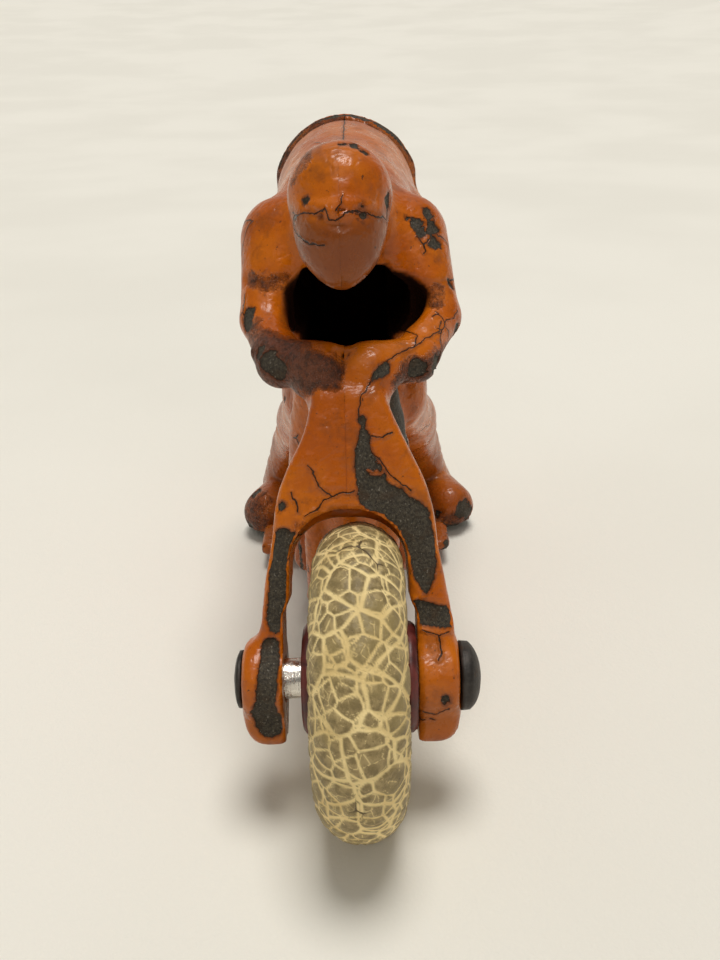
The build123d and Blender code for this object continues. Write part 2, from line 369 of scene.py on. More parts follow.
def fork_lip():
    """The thin inner edge behind the fork's arch, close round the tyre and all its float."""
    travel = wheel_y

    def distance(x, y, z):
        v, n = fork_frame(x, y, z)[1:]
        dx, dz = x - front_x, z - axle_z
        across = np.maximum(np.abs(y) - travel, 0)
        out = np.sqrt(dx * dx + dz * dz) - (tyre_radius - tyre_width / 2)
        clear = np.sqrt(across**2 + np.maximum(out, 0) ** 2) - tyre_width / 2
        ring = np.maximum(0.55 - clear, clear - 2.8)
        return smooth_max(ring, thick(10.5 - v, n + 1.9, 1.0, 0.4), 0.3)

    return (front_x - 12, -9.0, 22.0), (front_x + 4, 9.0, 38.0), distance


def well(x0):
    """Room for a wheel, a little clear of the hub's ends."""
    face = cheek_inner + 0.08
    points = [(-5, -5), (-5, face), (7.2, face), (8.6, 6.1), (12.0, 6.0)]
    points += arc_through((12.0, 6.0), (16.0, 4.45), (well_radius, 0))[1:] + [(well_radius, -5)]
    return round_profile(x0, points, well_radius)


def arm_opening():
    """The core that leaves the hole between the arms, sloping down and back into the chest."""
    outline = curve(
        [(0, 45.0), (4.4, 45.6), (7.8, 47.5), (9.0, 50.4), (7.9, 52.0), (5.0, 53.6), (0, 54.6)]
        + [(-4.4, 53.4), (-6.1, 51.9), (-6.2, 49.6), (-6.1, 47.0), (-4.4, 45.7), (0, 45.0)],
        3,
    )[:-1]

    def distance(x, y, z):
        flat = polygon_distance(y, z - 0.51 * (x - 16.0), outline)
        return thick(flat, x - 17.8, 7.2, 1.0)

    return (6.0, -6.6, 40.0), (25.0, 9.0, 62.0), distance


def both(shapes):
    """Shapes on the left, and the same mirrored on the right."""
    shapes = shapes if isinstance(shapes, list) else [shapes]

    def mirrored(low, high, distance):
        flipped = (low[0], -high[1], low[2]), (high[0], -low[1], high[2])
        return *flipped, lambda x, y, z: distance(x, -y, z)

    return shapes + [mirrored(*shape) for shape in shapes]


# ---- the rider's limbs: joints (x, y, z, radius), of the left side and of the right -----
leg = [
    [(-17.0, 6.8, 49.0, 7.2), (5.6, 4.9, 34.6, 4.4)],
    [(5.6, 4.9, 34.6, 4.4), (-9.0, 7.7, 25.5, 4.3), (-24.2, 9.8, 15.0, 4.0)],
    [(-24.2, 9.8, 15.0, 4.2), (-29.5, 12.4, 4.9, 4.2)],
]
arms = {
    1: [(6.5, 6.6, 54.2, 5.3), (13.4, 10.3, 47.0, 2.4), (20.3, 7.3, 44.5, 2.3), (23.3, 1.9, 44.8, 2.5)],
    -1: [(6.5, -6.6, 54.2, 5.3), (13.2, -9.0, 47.0, 2.6), (20.3, -6.7, 44.5, 2.5), (23.3, -1.6, 44.8, 2.6)],
}
boot_shift = {1: 0.25, -1: 0.75}  # both boots stand a little to the left
boot_ahead = {1: 0.0, -1: 1.1}
flank_reach = {1: 9.9, -1: 8.2}
exhaust = [(5.0, 6.2, 21.0, 1.2), (6.5, 7.0, 11.5, 1.2), (-14.0, 7.4, 9.8, 1.3), (-33.0, 9.6, 9.0, 1.8)]
case_z = 15.0  # height of the crankcase's centre
# Each rivet's x and z, and the |Y| of the faces under its heads.
rivets = {
    "rivet_engine": (2.0, case_z, 8.2),
    "rivet_saddle": (-21.5, 42.0, 7.2),
    "rivet_torso": (-4.0, 54.0, 8.9),
}
rivet_radius = 1.48
cylinder_foot = 21.5


def chain(joints):
    return [ball_cone(a[:3], a[3], b[:3], b[3]) for a, b in zip(joints, joints[1:])]


def add_rider(clay):
    """Back, neck and limbs, on the grid."""
    back = [
        (13.0, 5.4, 50.4, 60.4),
        (4.0, 8.0, 48.4, 63.4),
        (-5.0, 8.7, 47.0, 64.0),
        (-12.0, 9.3, 45.5, 65.0),
        (-18.0, 9.5, 44.5, 65.2),
        (-24.0, 8.5, 45.0, 62.8),
        (-29.0, 4.4, 48.0, 57.0),
    ]
    clay.add(tube(back, 2.2))
    clay.add(ball_cone((8.0, 0, 57.5), 5.2, (17.5, 0, 59.2), 4.3), 2.0)
    for side in (1, -1):
        for joints, soft in zip(leg, (2.0, 1.6, 0.8)):
            if side < 0:  # its thigh and knee are closer in
                joints = [(x, 1.3 * ramp(z, 12, 22) - y, z, r) for x, y, z, r in joints]
            clay.add(chain(joints), soft)
        ahead, shift = boot_ahead[side], boot_shift[side]
        toe = (-21.3 + ahead, side * 15.6 + shift, 4.2)
        heel = (-28.8 + ahead, side * 12.2 + shift, 4.4)
        clay.add(ball_cone(heel, 4.2, toe, 3.9), 0.9)
        clay.add(egg((toe[0] - 0.6, toe[1], 3.6), (4.3, 4.0, 3.3)), 0.8)
        sole = (-25.4 + ahead, side * 13.6 + shift, 1.9)
        clay.add(block(sole, (6.0, 4.3, 1.5), 0.8, yaw=22.0 * side), 0.25)
        upper_arm, *forearm = chain(arms[side])
        clay.add(upper_arm, 1.5)
        clay.add(forearm, 0.9)
        clay.add(egg((22.9, side * 2.9, 44.6), (2.5, 3.0, 2.6), pitch=-20), 0.6)

    # The flank behind each arm, which walls the hollow.
    outline = [(13.0, 47.4), (9.5, 55.0), (-6.0, 58.0), (-10.0, 44.0), (2.0, 42.0), (9.5, 43.5)]
    for side, reach in flank_reach.items():
        clay.add(both(side_plate(outline, 4.0, reach, 2.4))[side < 0], 1.6)


def add_frame(clay):
    """Tank, saddle, waist, the frame plate and the tube ahead of the engine."""
    tank = [(14.0, 5.6, 30.5, 38.4), (5, 7.6, 29.5, 41), (-8, 6.6, 30, 41.5), (-19, 4.2, 32, 40)]
    clay.add(tube(tank, 2.0), 0.9)
    saddle = [(-8, 49), (-8, 38), (-27, 37), (-30, 42), (-26, 49)]
    waist = [(8.5, 54), (10.5, 36), (-20, 36), (-20, 54)]
    plate = [(17.5, 39), (14.5, 9), (9, 4), (-9, 4), (-18, 8), (-18, 26), (-26, 37), (-20, 41)]
    clay.add(side_plate(saddle, -6.4, 6.4, 2.0), 1.0)
    clay.add(side_plate(waist, -6.8, 6.8, 2.2), 1.2)
    clay.add(side_plate(plate, -5.4, 5.4, 1.0), 0.5)
    clay.add(chain([(16.2, 0, 36.5, 3.4), (12.2, 0, 8.5, 3.2), (7.0, 0, 5.6, 2.6)]), 0.8)


def add_engine(clay):
    """Two case discs with raised rims, two leaning cylinders with fins, pushrods, pipes and footboard."""
    for x0, radius in ((2.0, 7.4), (-8.5, 5.6)):
        clay.add(both(side_disc(x0, case_z, radius, 3.0, 7.0, 0.5)), 0.3)
        clay.add(both(side_disc(x0, case_z, radius, 6.2, 7.5, 0.4)), 0.1)
        clay.cut(both(side_disc(x0, case_z, radius - 1.2, 6.9, 9.0, 0.3)), 0.2)
    for foot, lean in ((4.5, 22.0), (-1.5, -22.0)):
        c, s = cos_sin(lean)
        clay.add(block((foot + 3.2 * s, 0, cylinder_foot + 3.2 * c), (3.0, 6.2, 3.6), 1.5, pitch=lean), 0.3)
        for up in (0.4, 2.1, 3.8, 5.5):
            fin = (foot + up * s, 0, cylinder_foot + up * c)
            clay.add(block(fin, (3.8, 7.1, 0.42), 0.3, pitch=lean), 0.12)
        rod = (foot - 1.5, 6.9, 20.0)
        clay.add(both(ball_cone(rod, 0.5, (rod[0] + 8 * s, rod[1], rod[2] + 8 * c), 0.5)), 0.1)
    clay.add(both(chain(exhaust)), 0.3)
    clay.add(block((-12.0, 0, 3.5), (3.5, 14.9, 0.95), 0.6), 0.5)


def add_fork(clay):
    """Fork, its axle bosses, the bar between the hands, and the steering head."""
    clay.add(fork_shape(), 0.5)
    clay.add(both(side_disc(front_x, axle_z, 4.2, 6.1, cheek_outer - 0.1, 0.9)), 1.0)
    clay.add(ball_cone((23.7, -2.6, 43.5), 2.5, (23.7, 2.6, 43.5), 2.5), 1.5)
    clay.add(ball_cone((23.4, 0, 38.4), 3.8, (12.0, 0, 36.5), 4.4), 1.4)
    clay.add(both(ball_cone((17.0, 3.2, 39.6), 2.8, (14.0, 4.7, 29.5), 2.7)), 0.8)


def add_rear(clay):
    """Fender with a beaded edge, stays and axle bosses."""
    outer = well_radius + 1.8
    fender = [(11.7, -5), (11.7, 7.3), (12.5, 7.3)]
    fender += arc_through((12.5, 7.3), (17.3, 5.2), (outer, 0))[1:] + [(outer, -5)]
    clay.add(round_profile(rear_x, fender, well_radius + 2, 15.0, 145.0), 0.6)
    turns = [cos_sin(a) for a in range(15, 146, 10)]
    clay.add(both(chain([(rear_x + 12.4 * c, 7.3, axle_z + 12.4 * s, 0.55) for c, s in turns])), 0.25)
    for foot in ((-17.0, 7.2, 10.0, 2.2), (-23.0, 7.2, 38.0, 2.2)):
        clay.add(both(chain([(rear_x, 7.45, axle_z, 2.4), foot])), 0.4)
    clay.add(both(side_disc(rear_x, axle_z, 4.6, 6.1, cheek_outer - 0.02, 0.6)), 0.4)


def hollow():
    """What the sand core leaves empty: chest, tank, engine and the hole between the arms."""
    chest = [(13, 5.2, 48, 52.6), (4, 6.2, 49.4, 59.6), (-5, 6.9, 49.2, 61.8)]
    chest += [(-14, 7.4, 48, 62.6), (-22, 6.2, 48, 60)]
    return [
        tube(chest, 1.0),
        block((1.6, 0.6, 48.8), (10.4, 7.0, 4.6), 3.0),
        tube([(16, 5.6, 31, 37.2), (5, 5.8, 31.3, 39.2), (-8, 4.8, 31.8, 39.7)], 1.0),
        side_plate([(14, 50), (13, 43.5), (6, 37), (-14, 36), (-17, 50)], -5.0, 5.0, 1.5),
        side_plate([(12.0, 37), (11.0, -1), (-15, -1), (-15.5, 26), (-19, 37)], -3.6, 3.6, 1.5),
        arm_opening(),
    ]


def sculpt_castings(step):
    """The two castings as one solid, and its hollow, each on a grid."""
    clay, core = (Clay((-54.0, -21.2, 0.0), (43.2, 21.2, 68.0), step) for _ in range(2))
    for part in (add_rider, add_frame, add_engine, add_fork, add_rear):
        part(clay)
    core.add(hollow())
    clay.field = smooth_max(clay.field, -core.field, 0.7)
    clay.add(ball_cone((19.2, 0, 61.0), 5.15, (22.6, 0, 57.3), 3.75), 0.6)
    clay.add(ball_cone((22.2, 0, 57.8), 3.9, (24.3, 0, 55.2), 1.9), 1.6)
    relief(clay)
    # The unevenness of sand casting, but not on the faces beside the wheels.
    x, y, z = clay.grid()
    clay.field += (0.10 * lumps(x, y, z, 4.3, 3) + 0.05 * lumps(x, y, z, 1.7, 4)).astype(np.float32)
    clay.cut(well(front_x), 0.25)
    clay.cut(well(rear_x), 0.4)
    clay.add(fork_lip(), 0.35)
    for x0, z0, pad in rivets.values():
        clay.add(both(side_disc(x0, z0, 3.2, 0.0, pad, 0.3)), 0.4)
        clay.cut(both(side_disc(x0, z0, 3.1, pad, pad + 8, 0.1)), 0.3)
        clay.cut(side_disc(x0, z0, rivet_radius + 0.07, -20, 20, 0.0))
    for x0 in (front_x, rear_x):
        clay.cut(side_disc(x0, axle_z, bore_radius + 0.05, -20, 20, 0.0), 0.15)
    clay.field = smooth_max(clay.field, 0.5 - z, 0.3)  # flat soles
    return clay, core


# ---- relief: strokes pressed into the castings, each (depth, width, points) -------------
# Where depth is below 0 the stroke stands up.
def spot(x, y, z):
    """The shortest stroke."""
    return [(x, y, z), (x + 0.01, y, z)]


brow = [(23.2, -4.9, 57.9), (24.0, -4.4, 59.7), (24.7, -3.2, 60.6), (25.3, -1.5, 60.2), (25.6, 0, 60.8)]
brow += [(25.3, 1.6, 60.5), (24.7, 3.2, 60.4), (24.0, 4.4, 59.5), (23.2, 4.9, 57.7)]
single_strokes = [
    # The joint down the fork stands up a little under its paint.
    (-0.26, 0.42, [fork_point(0.1, v) for v in (19.6, 22.5, 26.0, 29.6)]),
    (-0.14, 0.5, [fork_point(-3.9, 23.0), fork_point(-2.4, 20.0), fork_point(-0.4, 20.2)]),
    # The helmet's edge over the brow.
    (0.34, 0.30, brow),
    (-0.22, 0.5, [(x - 0.2, y, z + 0.85) for x, y, z in brow[1:-1]]),
    # Nose and goggles, lumped together under thick paint.
    (-0.30, 0.6, spot(24.1, -0.4, 62.7)),
    (-0.30, 0.5, spot(24.2, 0.7, 62.7)),
    (-0.55, 0.75, spot(25.6, -0.9, 61.0)),
    (-0.50, 0.70, spot(25.7, 0.3, 61.3)),
    (-0.60, 0.65, spot(25.9, 0.8, 60.2)),
    (-0.40, 0.60, spot(26.0, -0.2, 60.4)),
    (0.50, 0.42, spot(25.8, 0.1, 60.9)),
    (0.35, 0.42, spot(25.6, -0.2, 61.7)),
    (0.45, 0.42, [(26.2, -1.0, 59.8), (26.3, 0.0, 59.7), (26.2, 1.0, 59.8)]),
    # Where the hands meet over the fork.
    (0.75, 0.55, [(23.6, 0.0, 47.4), (24.8, -0.1, 46.8), (25.6, -0.3, 45.8)]),
    (0.40, 0.5, [(25.6, -0.5, 45.0), (24.8, -3.2, 42.6), (23.6, -4.6, 41.4)]),
    # The fold of each sleeve above the elbow.
    (0.55, 0.65, [(12.0, -11.0, 51.4), (13.9, -8.6, 51.3), (13.0, -6.2, 51.6)]),
    (0.45, 0.6, [(12.0, 11.4, 50.4), (14.4, 9.6, 50.6), (13.8, 7.4, 50.8)]),
]
frame_y = 5.4  # half the frame plate's width
tank_panel = [(11.5, 6.7, 35.8), (8.0, 7.6, 38.0), (2.0, 8.0, 38.2), (2.0, 7.9, 32.6), (9.0, 7.4, 32.4)]
frame_tube = [(15.6, 36.0), (12.9, 9.6), (9.4, 6.0), (-9.0, 6.0), (-16.0, 9.6), (-16.2, 26.0), (-22.0, 36.0)]
mirrored_strokes = [
    # The helmet's edge down the cheek.
    (0.16, 0.3, [(22.2, 5.0, 57.6), (22.6, 4.4, 55.6), (23.4, 3.0, 54.4)]),
    # Jersey: folds at the arm hole and over the back.
    (0.35, 0.7, [(10.5, 5.2, 61.5), (6.0, 8.6, 60.0), (2.5, 10.6, 56.0), (3.0, 10.4, 51.0)]),
    (0.22, 0.5, [(11.0, 9.8, 52.4), (9.0, 11.4, 51.0)]),
    (0.22, 0.45, [(12.4, 9.6, 50.8), (10.4, 11.4, 49.2)]),
    (0.25, 0.8, [(-2.0, 8.8, 58.0), (-8.0, 9.2, 55.0), (-13.0, 9.6, 50.5)]),
    (0.20, 0.7, [(-6.0, 8.6, 60.5), (-12.0, 9.6, 58.0), (-16.0, 10.0, 54.0)]),
    # Breeches: folds behind the knee and over the thigh.
    (0.35, 0.7, [(-3.0, 9.6, 41.5), (-9.0, 11.6, 38.5), (-13.0, 12.0, 40.0)]),
    (0.28, 0.6, [(3.0, 9.0, 38.6), (0.0, 10.0, 35.0), (1.0, 9.6, 31.5)]),
    (0.22, 0.5, [(6.8, 8.4, 37.0), (4.6, 9.2, 33.6)]),
    # Boot top, front and back, and ankle folds.
    (-0.30, 0.55, [(-11.2, 9.0, 29.4), (-14.8, 12.4, 25.6), (-20.2, 12.2, 21.0)]),
    (-0.34, 0.6, [(-7.6, 9.0, 21.8), (-11.0, 11.6, 20.6), (-17.4, 13.4, 24.0)]),
    (0.28, 0.5, [(-20.8, 13.0, 12.4), (-24.0, 15.0, 11.6), (-27.8, 14.6, 12.0)]),
    (0.22, 0.45, [(-20.4, 13.4, 9.6), (-23.6, 15.8, 8.8), (-28.0, 15.6, 9.2)]),
    # Glove cuff.
    (-0.28, 0.5, [(18.4, 8.2, 47.3), (19.4, 9.9, 45.4), (18.8, 9.6, 43.2)]),
    # Tank panel, and the tubes of the frame round the engine.
    (0.22, 0.35, tank_panel + tank_panel[:1]),
    (-0.9, 1.0, [(x, frame_y, z) for x, z in frame_tube]),
    (-0.7, 0.9, [(13.4, frame_y, 33.0), (6.0, frame_y, 31.4), (-15.0, frame_y, 29.6)]),
    # Saddle skirt.
    (0.35, 0.5, [(-9.5, 6.6, 44.0), (-18.0, 6.8, 41.5), (-28.0, 6.6, 42.0)]),
]
# Fingers, the coils of the saddle spring, and the bolts of the crankcase.
for y in (1.5, 2.65, 3.8):
    mirrored_strokes.append((0.20, 0.28, [(25.6, y, 45.4), (26.0, y, 43.8), (24.8, y, 42.4)]))
for z in (34.8, 33.7, 32.6, 31.5):
    mirrored_strokes.append((-0.35, 0.35, [(-27.0, 6.0, z), (-24.4, 6.4, z - 0.6)]))
for c, s in map(cos_sin, range(20, 380, 60)):
    mirrored_strokes.append((-0.5, 0.55, spot(2.0 + 5.2 * c, 7.2, case_z + 5.2 * s)))


def press(clay, depth, width, points):
    """Presses a soft line along points into the surface."""
    for a, b in zip(points, points[1:]):
        low, high, distance = ball_cone(a, 0.01, b, 0.01)
        cut, x, y, z = clay.window(low, high, 3 * width)
        near = distance(x, y, z) / width
        clay.field[cut] += depth * np.exp(-near * near)


def relief(clay):
    """Folds of cloth, face, cuffs, boot tops and edges, and the hem that stands proud of the hips."""
    for depth, width, points in single_strokes:
        press(clay, depth, width, points)
    for depth, width, points in mirrored_strokes:
        press(clay, depth, width, points)
        press(clay, depth, width, [(x, -y, z) for x, y, z in points])
    x, _, z = clay.grid()
    hem = x + 18.2 + 0.05 * (z - 60)
    over = ramp(z, 55, 60)
    clay.field -= (1.0 * ramp(hem, 0.5, -0.1) * ramp(hem, -2.6, -1.2) * over).astype(np.float32)
    clay.field += (0.2 * np.exp(-(((hem - 0.9) / 0.5) ** 2)) * over).astype(np.float32)


def blurred(field, reach):
    """The field averaged over a cube, reach cells each way, twice."""
    for _ in range(2):
        for axis in range(3):
            padded = np.concatenate(
                [field.take([0], axis)] * (reach + 1) + [field] + [field.take([-1], axis)] * reach, axis
            )
            total = np.cumsum(padded, axis, dtype=np.float64)
            size = field.shape[axis]
            high = total.take(range(2 * reach + 1, 2 * reach + 1 + size), axis)
            low = total.take(range(0, size), axis)
            field = ((high - low) / (2 * reach + 1)).astype(np.float32)
    return field


def sampled(clay, field, points):
    """A field's value at points, between the grid's own."""
    q = (points - clay.low) / clay.step
    cell = np.clip(np.floor(q).astype(int), 0, np.array(field.shape) - 2)
    t = q - cell
    total = 0
    for corner in product((0, 1), repeat=3):
        weight = np.prod([t[:, i] if bit else 1 - t[:, i] for i, bit in enumerate(corner)], axis=0)
        total = total + weight * field[tuple((cell + corner).T)]
    return total


def shards(points, size, seed, evenness=1.0, normals=None):
    """Splits space into random cells: distance to the nearest border, and a number per cell.

    With normals the distance runs along the surface, so that a border is equally wide everywhere.
    """
    spots = np.random.default_rng(seed).random((LATTICE, LATTICE, LATTICE, 4))
    q = points / size
    spots[..., :3] = 0.5 + (spots[..., :3] - 0.5) * evenness
    base = np.floor(q).astype(int)
    best = np.full(len(q), 1e9)
    second = np.full(len(q), 1e9)
    best_at = np.zeros_like(q)
    second_at = np.zeros_like(q)
    mark = np.zeros(len(q))
    for neighbour in product((-1, 0, 1), repeat=3):
        cell = base + neighbour
        found = spots[tuple((cell % LATTICE).T)]
        at = cell + found[:, :3]
        away = ((at - q) ** 2).sum(1)
        nearer = away < best
        next_best = ~nearer & (away < second)
        second = np.where(nearer, best, np.where(next_best, away, second))
        second_at = np.where(nearer[:, None], best_at, np.where(next_best[:, None], at, second_at))
        best = np.where(nearer, away, best)
        best_at = np.where(nearer[:, None], at, best_at)
        mark = np.where(nearer, found[:, 3], mark)
    across = second_at - best_at
    gap = np.sqrt((across**2).sum(1)) + 1e-9
    distance = (second - best) / (2 * gap) * size
    if normals is not None:
        slant = (across * normals).sum(1) / gap
        distance /= np.sqrt(np.maximum(1 - slant**2, 0.05))
    return distance, mark


# ---- where the enamel has gone --------------------------------------------------------
# Patches on the fork's front face: joined discs, each (across, up from the axle, radius).
fork_patches = [
    [(1.75, 26.4, 0.1), (1.8, 24.6, 0.35), (1.8, 23.0, 0.7), (2.4, 20.6, 1.3), (2.8, 18.9, 1.5)],
    [(2.8, 18.9, 1.5), (4.7, 18.0, 1.55), (6.6, 16.2, 1.6), (7.4, 13.5, 1.4)],
    [(7.4, 13.5, 1.4), (7.6, 11.0, 0.95), (7.7, 9.2, 0.15)],
    [(7.0, 7.2, 0.9), (10.0, 6.6, 0.9)],
    [(9.4, -1.4, 0.3)],
    [(-6.5, 14.5, 1.1), (-6.9, 12.2, 1.1), (-7.1, 9.4, 0.8), (-7.4, 6.2, 0.7)],
    [(-8.0, 4.0, 0.7), (-8.3, 0.6, 0.8), (-8.4, -1.2, 0.7), (-8.7, -2.9, 1.2), (-8.2, -4.0, 1.1)],
    [(-6.6, 18.0, 0.3)],
    [(2.9, 30.6, 0.1), (3.9, 31.4, 0.45), (4.3, 31.9, 0.2)],
]
# Paint left standing inside the largest patch.
fork_island = [(2.2, 21.3, 0.45), (3.3, 21.1, 0.4)]
# Patches elsewhere: (x, y, z, radius).
loose_patches = [
    # Crown
    (20.6, 0.5, 66.0, 0.3), (20.7, 1.5, 65.8, 0.4), (20.8, 2.5, 65.3, 0.3),
    # Brow
    (23.6, -3.2, 61.4, 0.2), (24.8, 2.0, 61.0, 0.3), (25.0, 2.2, 60.2, 0.3), (21.4, 4.8, 60.8, 0.3),
    (21.7, 4.8, 59.4, 0.3),
    # Left shoulder
    (9.0, 9.4, 57.4, 0.5), (10.2, 9.9, 56.2, 0.6), (11.4, 10.0, 54.8, 0.5), (10.8, 6.8, 57.4, 0.1),
    (11.0, 8.0, 56.8, 0.2), (11.4, 8.5, 55.8, 0.3),
    # Hem
    (-17.6, 3.3, 66.0, 0.5), (-17.6, -3.3, 66.0, 0.4),
    # Elbows
    (15.2, 12.2, 45.6, 0.6), (15.2, -10.7, 48.4, 0.5), (16.0, -10.5, 47.4, 0.5),
    # Right hand
    (21.0, -8.8, 46.0, 0.5), (22.4, -7.9, 45.4, 0.8), (23.2, -6.9, 44.6, 0.7),
    # Grip
    (24.9, 0.2, 47.0, 0.2),
    # Left hand
    (22.8, 7.6, 44.4, 0.8), (21.0, 9.5, 44.3, 0.7),
    # Beside the steering head
    (18.0, 5.2, 41.0, 1.2), (17.8, 5.6, 39.0, 1.6), (17.0, 6.2, 36.4, 1.6), (16.2, 6.8, 33.6, 1.3),
    (15.6, 7.0, 31.0, 0.9),
    # Boots
    (-17.8, 18.4, 4.9, 1.5), (-18.8, 19.4, 3.4, 1.2), (-17.6, -18.6, 2.4, 1.0),
    (-20.6, -16.6, 7.6, 0.9), (-30.8, -11.0, 4.2, 1.2),
    # Left sleeve
    (12.6, 11.4, 50.0, 0.5),
]
# Cracks drawn in the enamel of the fork's front face, across and up.
fork_cracks = [
    [(0.9, 19.4), (-0.4, 19.3), (-1.6, 18.9), (-3.1, 17.6), (-4.3, 17.0)],
    [(-1.6, 18.9), (-2.7, 19.9), (-3.2, 21.2), (-3.8, 22.1)],
    [(-5.6, 19.4), (-5.2, 18.6), (-4.9, 17.4)],
    [(2.2, 24.7), (3.7, 24.7), (4.6, 25.1)],
    [(2.3, 23.7), (3.4, 22.2), (4.4, 20.9), (6.4, 19.4)],
    [(7.4, 5.2), (8.9, 4.8), (9.9, 5.1)],
    [(8.9, 4.8), (9.2, 3.2), (8.8, 2.4)],
    [(7.2, -2.8), (8.6, -3.0), (9.8, -2.4)],
]
# Cracks over the left arm and down onto the fork, in the same plane.
arm_cracks = [
    [(10.3, 36.8), (10.0, 35.8), (8.2, 34.7), (7.2, 33.8), (7.4, 35.2), (6.4, 36.0)],
    [(7.2, 33.8), (5.3, 33.2), (2.5, 30.2), (1.5, 28.4), (1.3, 26.4)],
]
# Cracks over the face, across and up: the edge of the helmet, the nose and the cheeks.
face_cracks = [
    [(-4.5, 59.9), (-3.3, 60.4), (-2.2, 60.4), (-1.3, 61.0), (-1.0, 59.9), (-0.4, 59.9)],
    [(-0.4, 59.9), (0.5, 60.5), (1.1, 60.7), (1.6, 60.5), (2.8, 60.2), (4.4, 59.4)],
    [(-4.3, 60.0), (-4.4, 58.8), (-3.9, 58.1), (-3.1, 57.9), (-1.4, 57.8)],
    [(-0.3, 60.8), (0.2, 61.4), (0.3, 61.9)],
]


def patch_depth(across, up, discs):
    """How far inside a chain of discs joined by tapering bars each place is, in millimetres."""
    best = np.full(across.shape, -9.0)
    for (ax, ay, ar), (bx, by, br) in zip(discs, discs[1:] or discs):
        ex, ey = bx - ax, by - ay
        t = np.clip(((across - ax) * ex + (up - ay) * ey) / (ex * ex + ey * ey + 1e-9), 0, 1)
        away = np.hypot(across - ax - ex * t, up - ay - ey * t)
        best = np.maximum(best, ar + (br - ar) * t - away)
    return best


def bare_iron(points, normals, edge):
    """How far inside a patch without enamel each point is, in millimetres, negative outside."""
    x, y, z = points.T
    u, v, n = fork_frame(x, y, z)
    flake, pick = shards(points, 1.5, 40)
    small_flake, small_pick = shards(points, 0.7, 44)
    ragged = 0.42 * (pick - 0.5) + 0.2 * (small_pick - 0.5) + 0.16 * lumps(x, y, z, 0.9, 41)
    facing = normals @ np.array((rake_cos, 0, rake_sin))
    on_front = ramp(facing, 0.25, 0.6) * ramp(n, 0.2, 1.0) * (v < 33)
    front = np.full(len(x), -9.0)
    for discs in fork_patches:
        front = np.maximum(front, patch_depth(u, v, discs) + 0.22)
    front = np.minimum(front, -patch_depth(u, v, fork_island) + 0.1)
    bare = np.where(on_front > 0.01, (front + 0.6 * ragged) * on_front - 4 * (1 - on_front), -9.0)
    for px, py, pz, r in loose_patches:
        away = np.sqrt((x - px) ** 2 + (y - py) ** 2 + (z - pz) ** 2)
        bare = np.maximum(bare, r + 0.3 - away + 1.2 * ragged)
    # Wear on edges that stand out, hardly any where the photograph shows whole enamel.
    spread = turbulence(x, y, z, 7.0, 50)
    kept = ramp(x, 14, 20) * ramp(z, 12, 16) + ramp(n, 0.5, 2.0) * ramp(x, 20, 24)
    wear = 2.9 * edge + 1.35 * spread + 0.5 * turbulence(x, y, z, 2.0, 54) - 1.55 - 1.6 * np.clip(kept, 0, 1)
    bare = np.maximum(bare, 1.1 * wear + 1.5 * ragged)
    low_side = ramp(z, 4.0, 1.0) * 1.6 - 1.25 + 0.8 * spread
    bare = np.maximum(bare, low_side + ragged)
    # The side of the steering head above the left fork leg.
    flank = 1.2 - np.hypot((x - 19.0) / 7.5, (z - 38.0) / 4.6) + 0.5 * spread
    on_flank = (normals[:, 1] > 0.35) & (x > 11) & (n < 0.4) & (y > 2.5) & (y < 7.5)
    bare = np.maximum(bare, np.where(on_flank, flank * 1.4, -9))
    return np.clip(bare, -3, 3), np.minimum(flake, small_flake + 0.25)


# Where dirt and scorched lacquer cover the enamel, and where shade is painted on it: joined balls, each (x,
# y, z, radius, strength).
soils = [
    # Right forearm
    [
        (17.0, -9.8, 46.6, 2.2, 0.5), (21.0, -8.6, 45.4, 3.0, 1.0),
        (24.0, -5.4, 45.0, 3.0, 1.1), (25.4, -1.8, 45.0, 2.0, 1.0),
    ],
    # Left forearm: dirt, and painted shade along its underside
    [
        (17.0, 10.6, 43.8, 2.0, 0.6), (21.6, 9.0, 44.0, 1.8, 0.9),
        (23.2, 6.4, 44.0, 1.6, 0.9), (24.8, 4.6, 43.6, 1.0, 0.6),
    ],
    # Right sleeve: painted shade in its fold
    [(12.6, -10.4, 51.6, 1.0, 0.6), (13.8, -8.5, 51.3, 1.0, 0.55), (13.0, -6.4, 51.6, 1.0, 0.5)],
    # Left sleeve: painted shade in its fold
    [(12.6, 10.2, 50.6, 0.9, 0.4), (15.2, 10.0, 49.2, 1.0, 0.6)],
    # Crown
    [(19.5, -3.2, 65.2, 0.9, 0.5), (21.8, -3.1, 64.4, 0.9, 0.5), (20.9, -4.4, 63.2, 0.8, 0.5)],
    # Left boot: painted shade low on it
    [(-19.0, 17.0, 2.4, 3.4, 0.6), (-27.0, 13.0, 1.8, 3.6, 0.6)],
    # Right boot: painted shade low on it
    [(-19.0, -17.0, 4.0, 4.4, 0.62), (-27.0, -13.0, 2.0, 4.0, 0.6)],
    # Hem: painted shade on its rim
    [
        (-18.6, 9.2, 58.0, 1.8, 0.5), (-18.2, 5.5, 64.5, 1.4, 0.45),
        (-18.2, -5.5, 64.5, 1.6, 0.55), (-18.6, -9.2, 58.0, 2.2, 0.7),
    ],
]


def soiled(points):
    """How much dirt and painted shade lie on each point, from 0 to 1."""
    x, y, z = points.T
    total = np.zeros(len(x))
    for chain_of in soils:
        for (ax, ay, az, ar, am), (bx, by, bz, br, bm) in zip(chain_of, chain_of[1:]):
            ex, ey, ez = bx - ax, by - ay, bz - az
            t = ((x - ax) * ex + (y - ay) * ey + (z - az) * ez) / (ex * ex + ey * ey + ez * ez)
            t = np.clip(t, 0, 1)
            away = np.sqrt((x - ax - ex * t) ** 2 + (y - ay - ey * t) ** 2 + (z - az - ez * t) ** 2)
            strength = am + (bm - am) * t
            total = np.maximum(total, strength * ramp(away / (ar + (br - ar) * t), 1.5, 0.45))
    return total


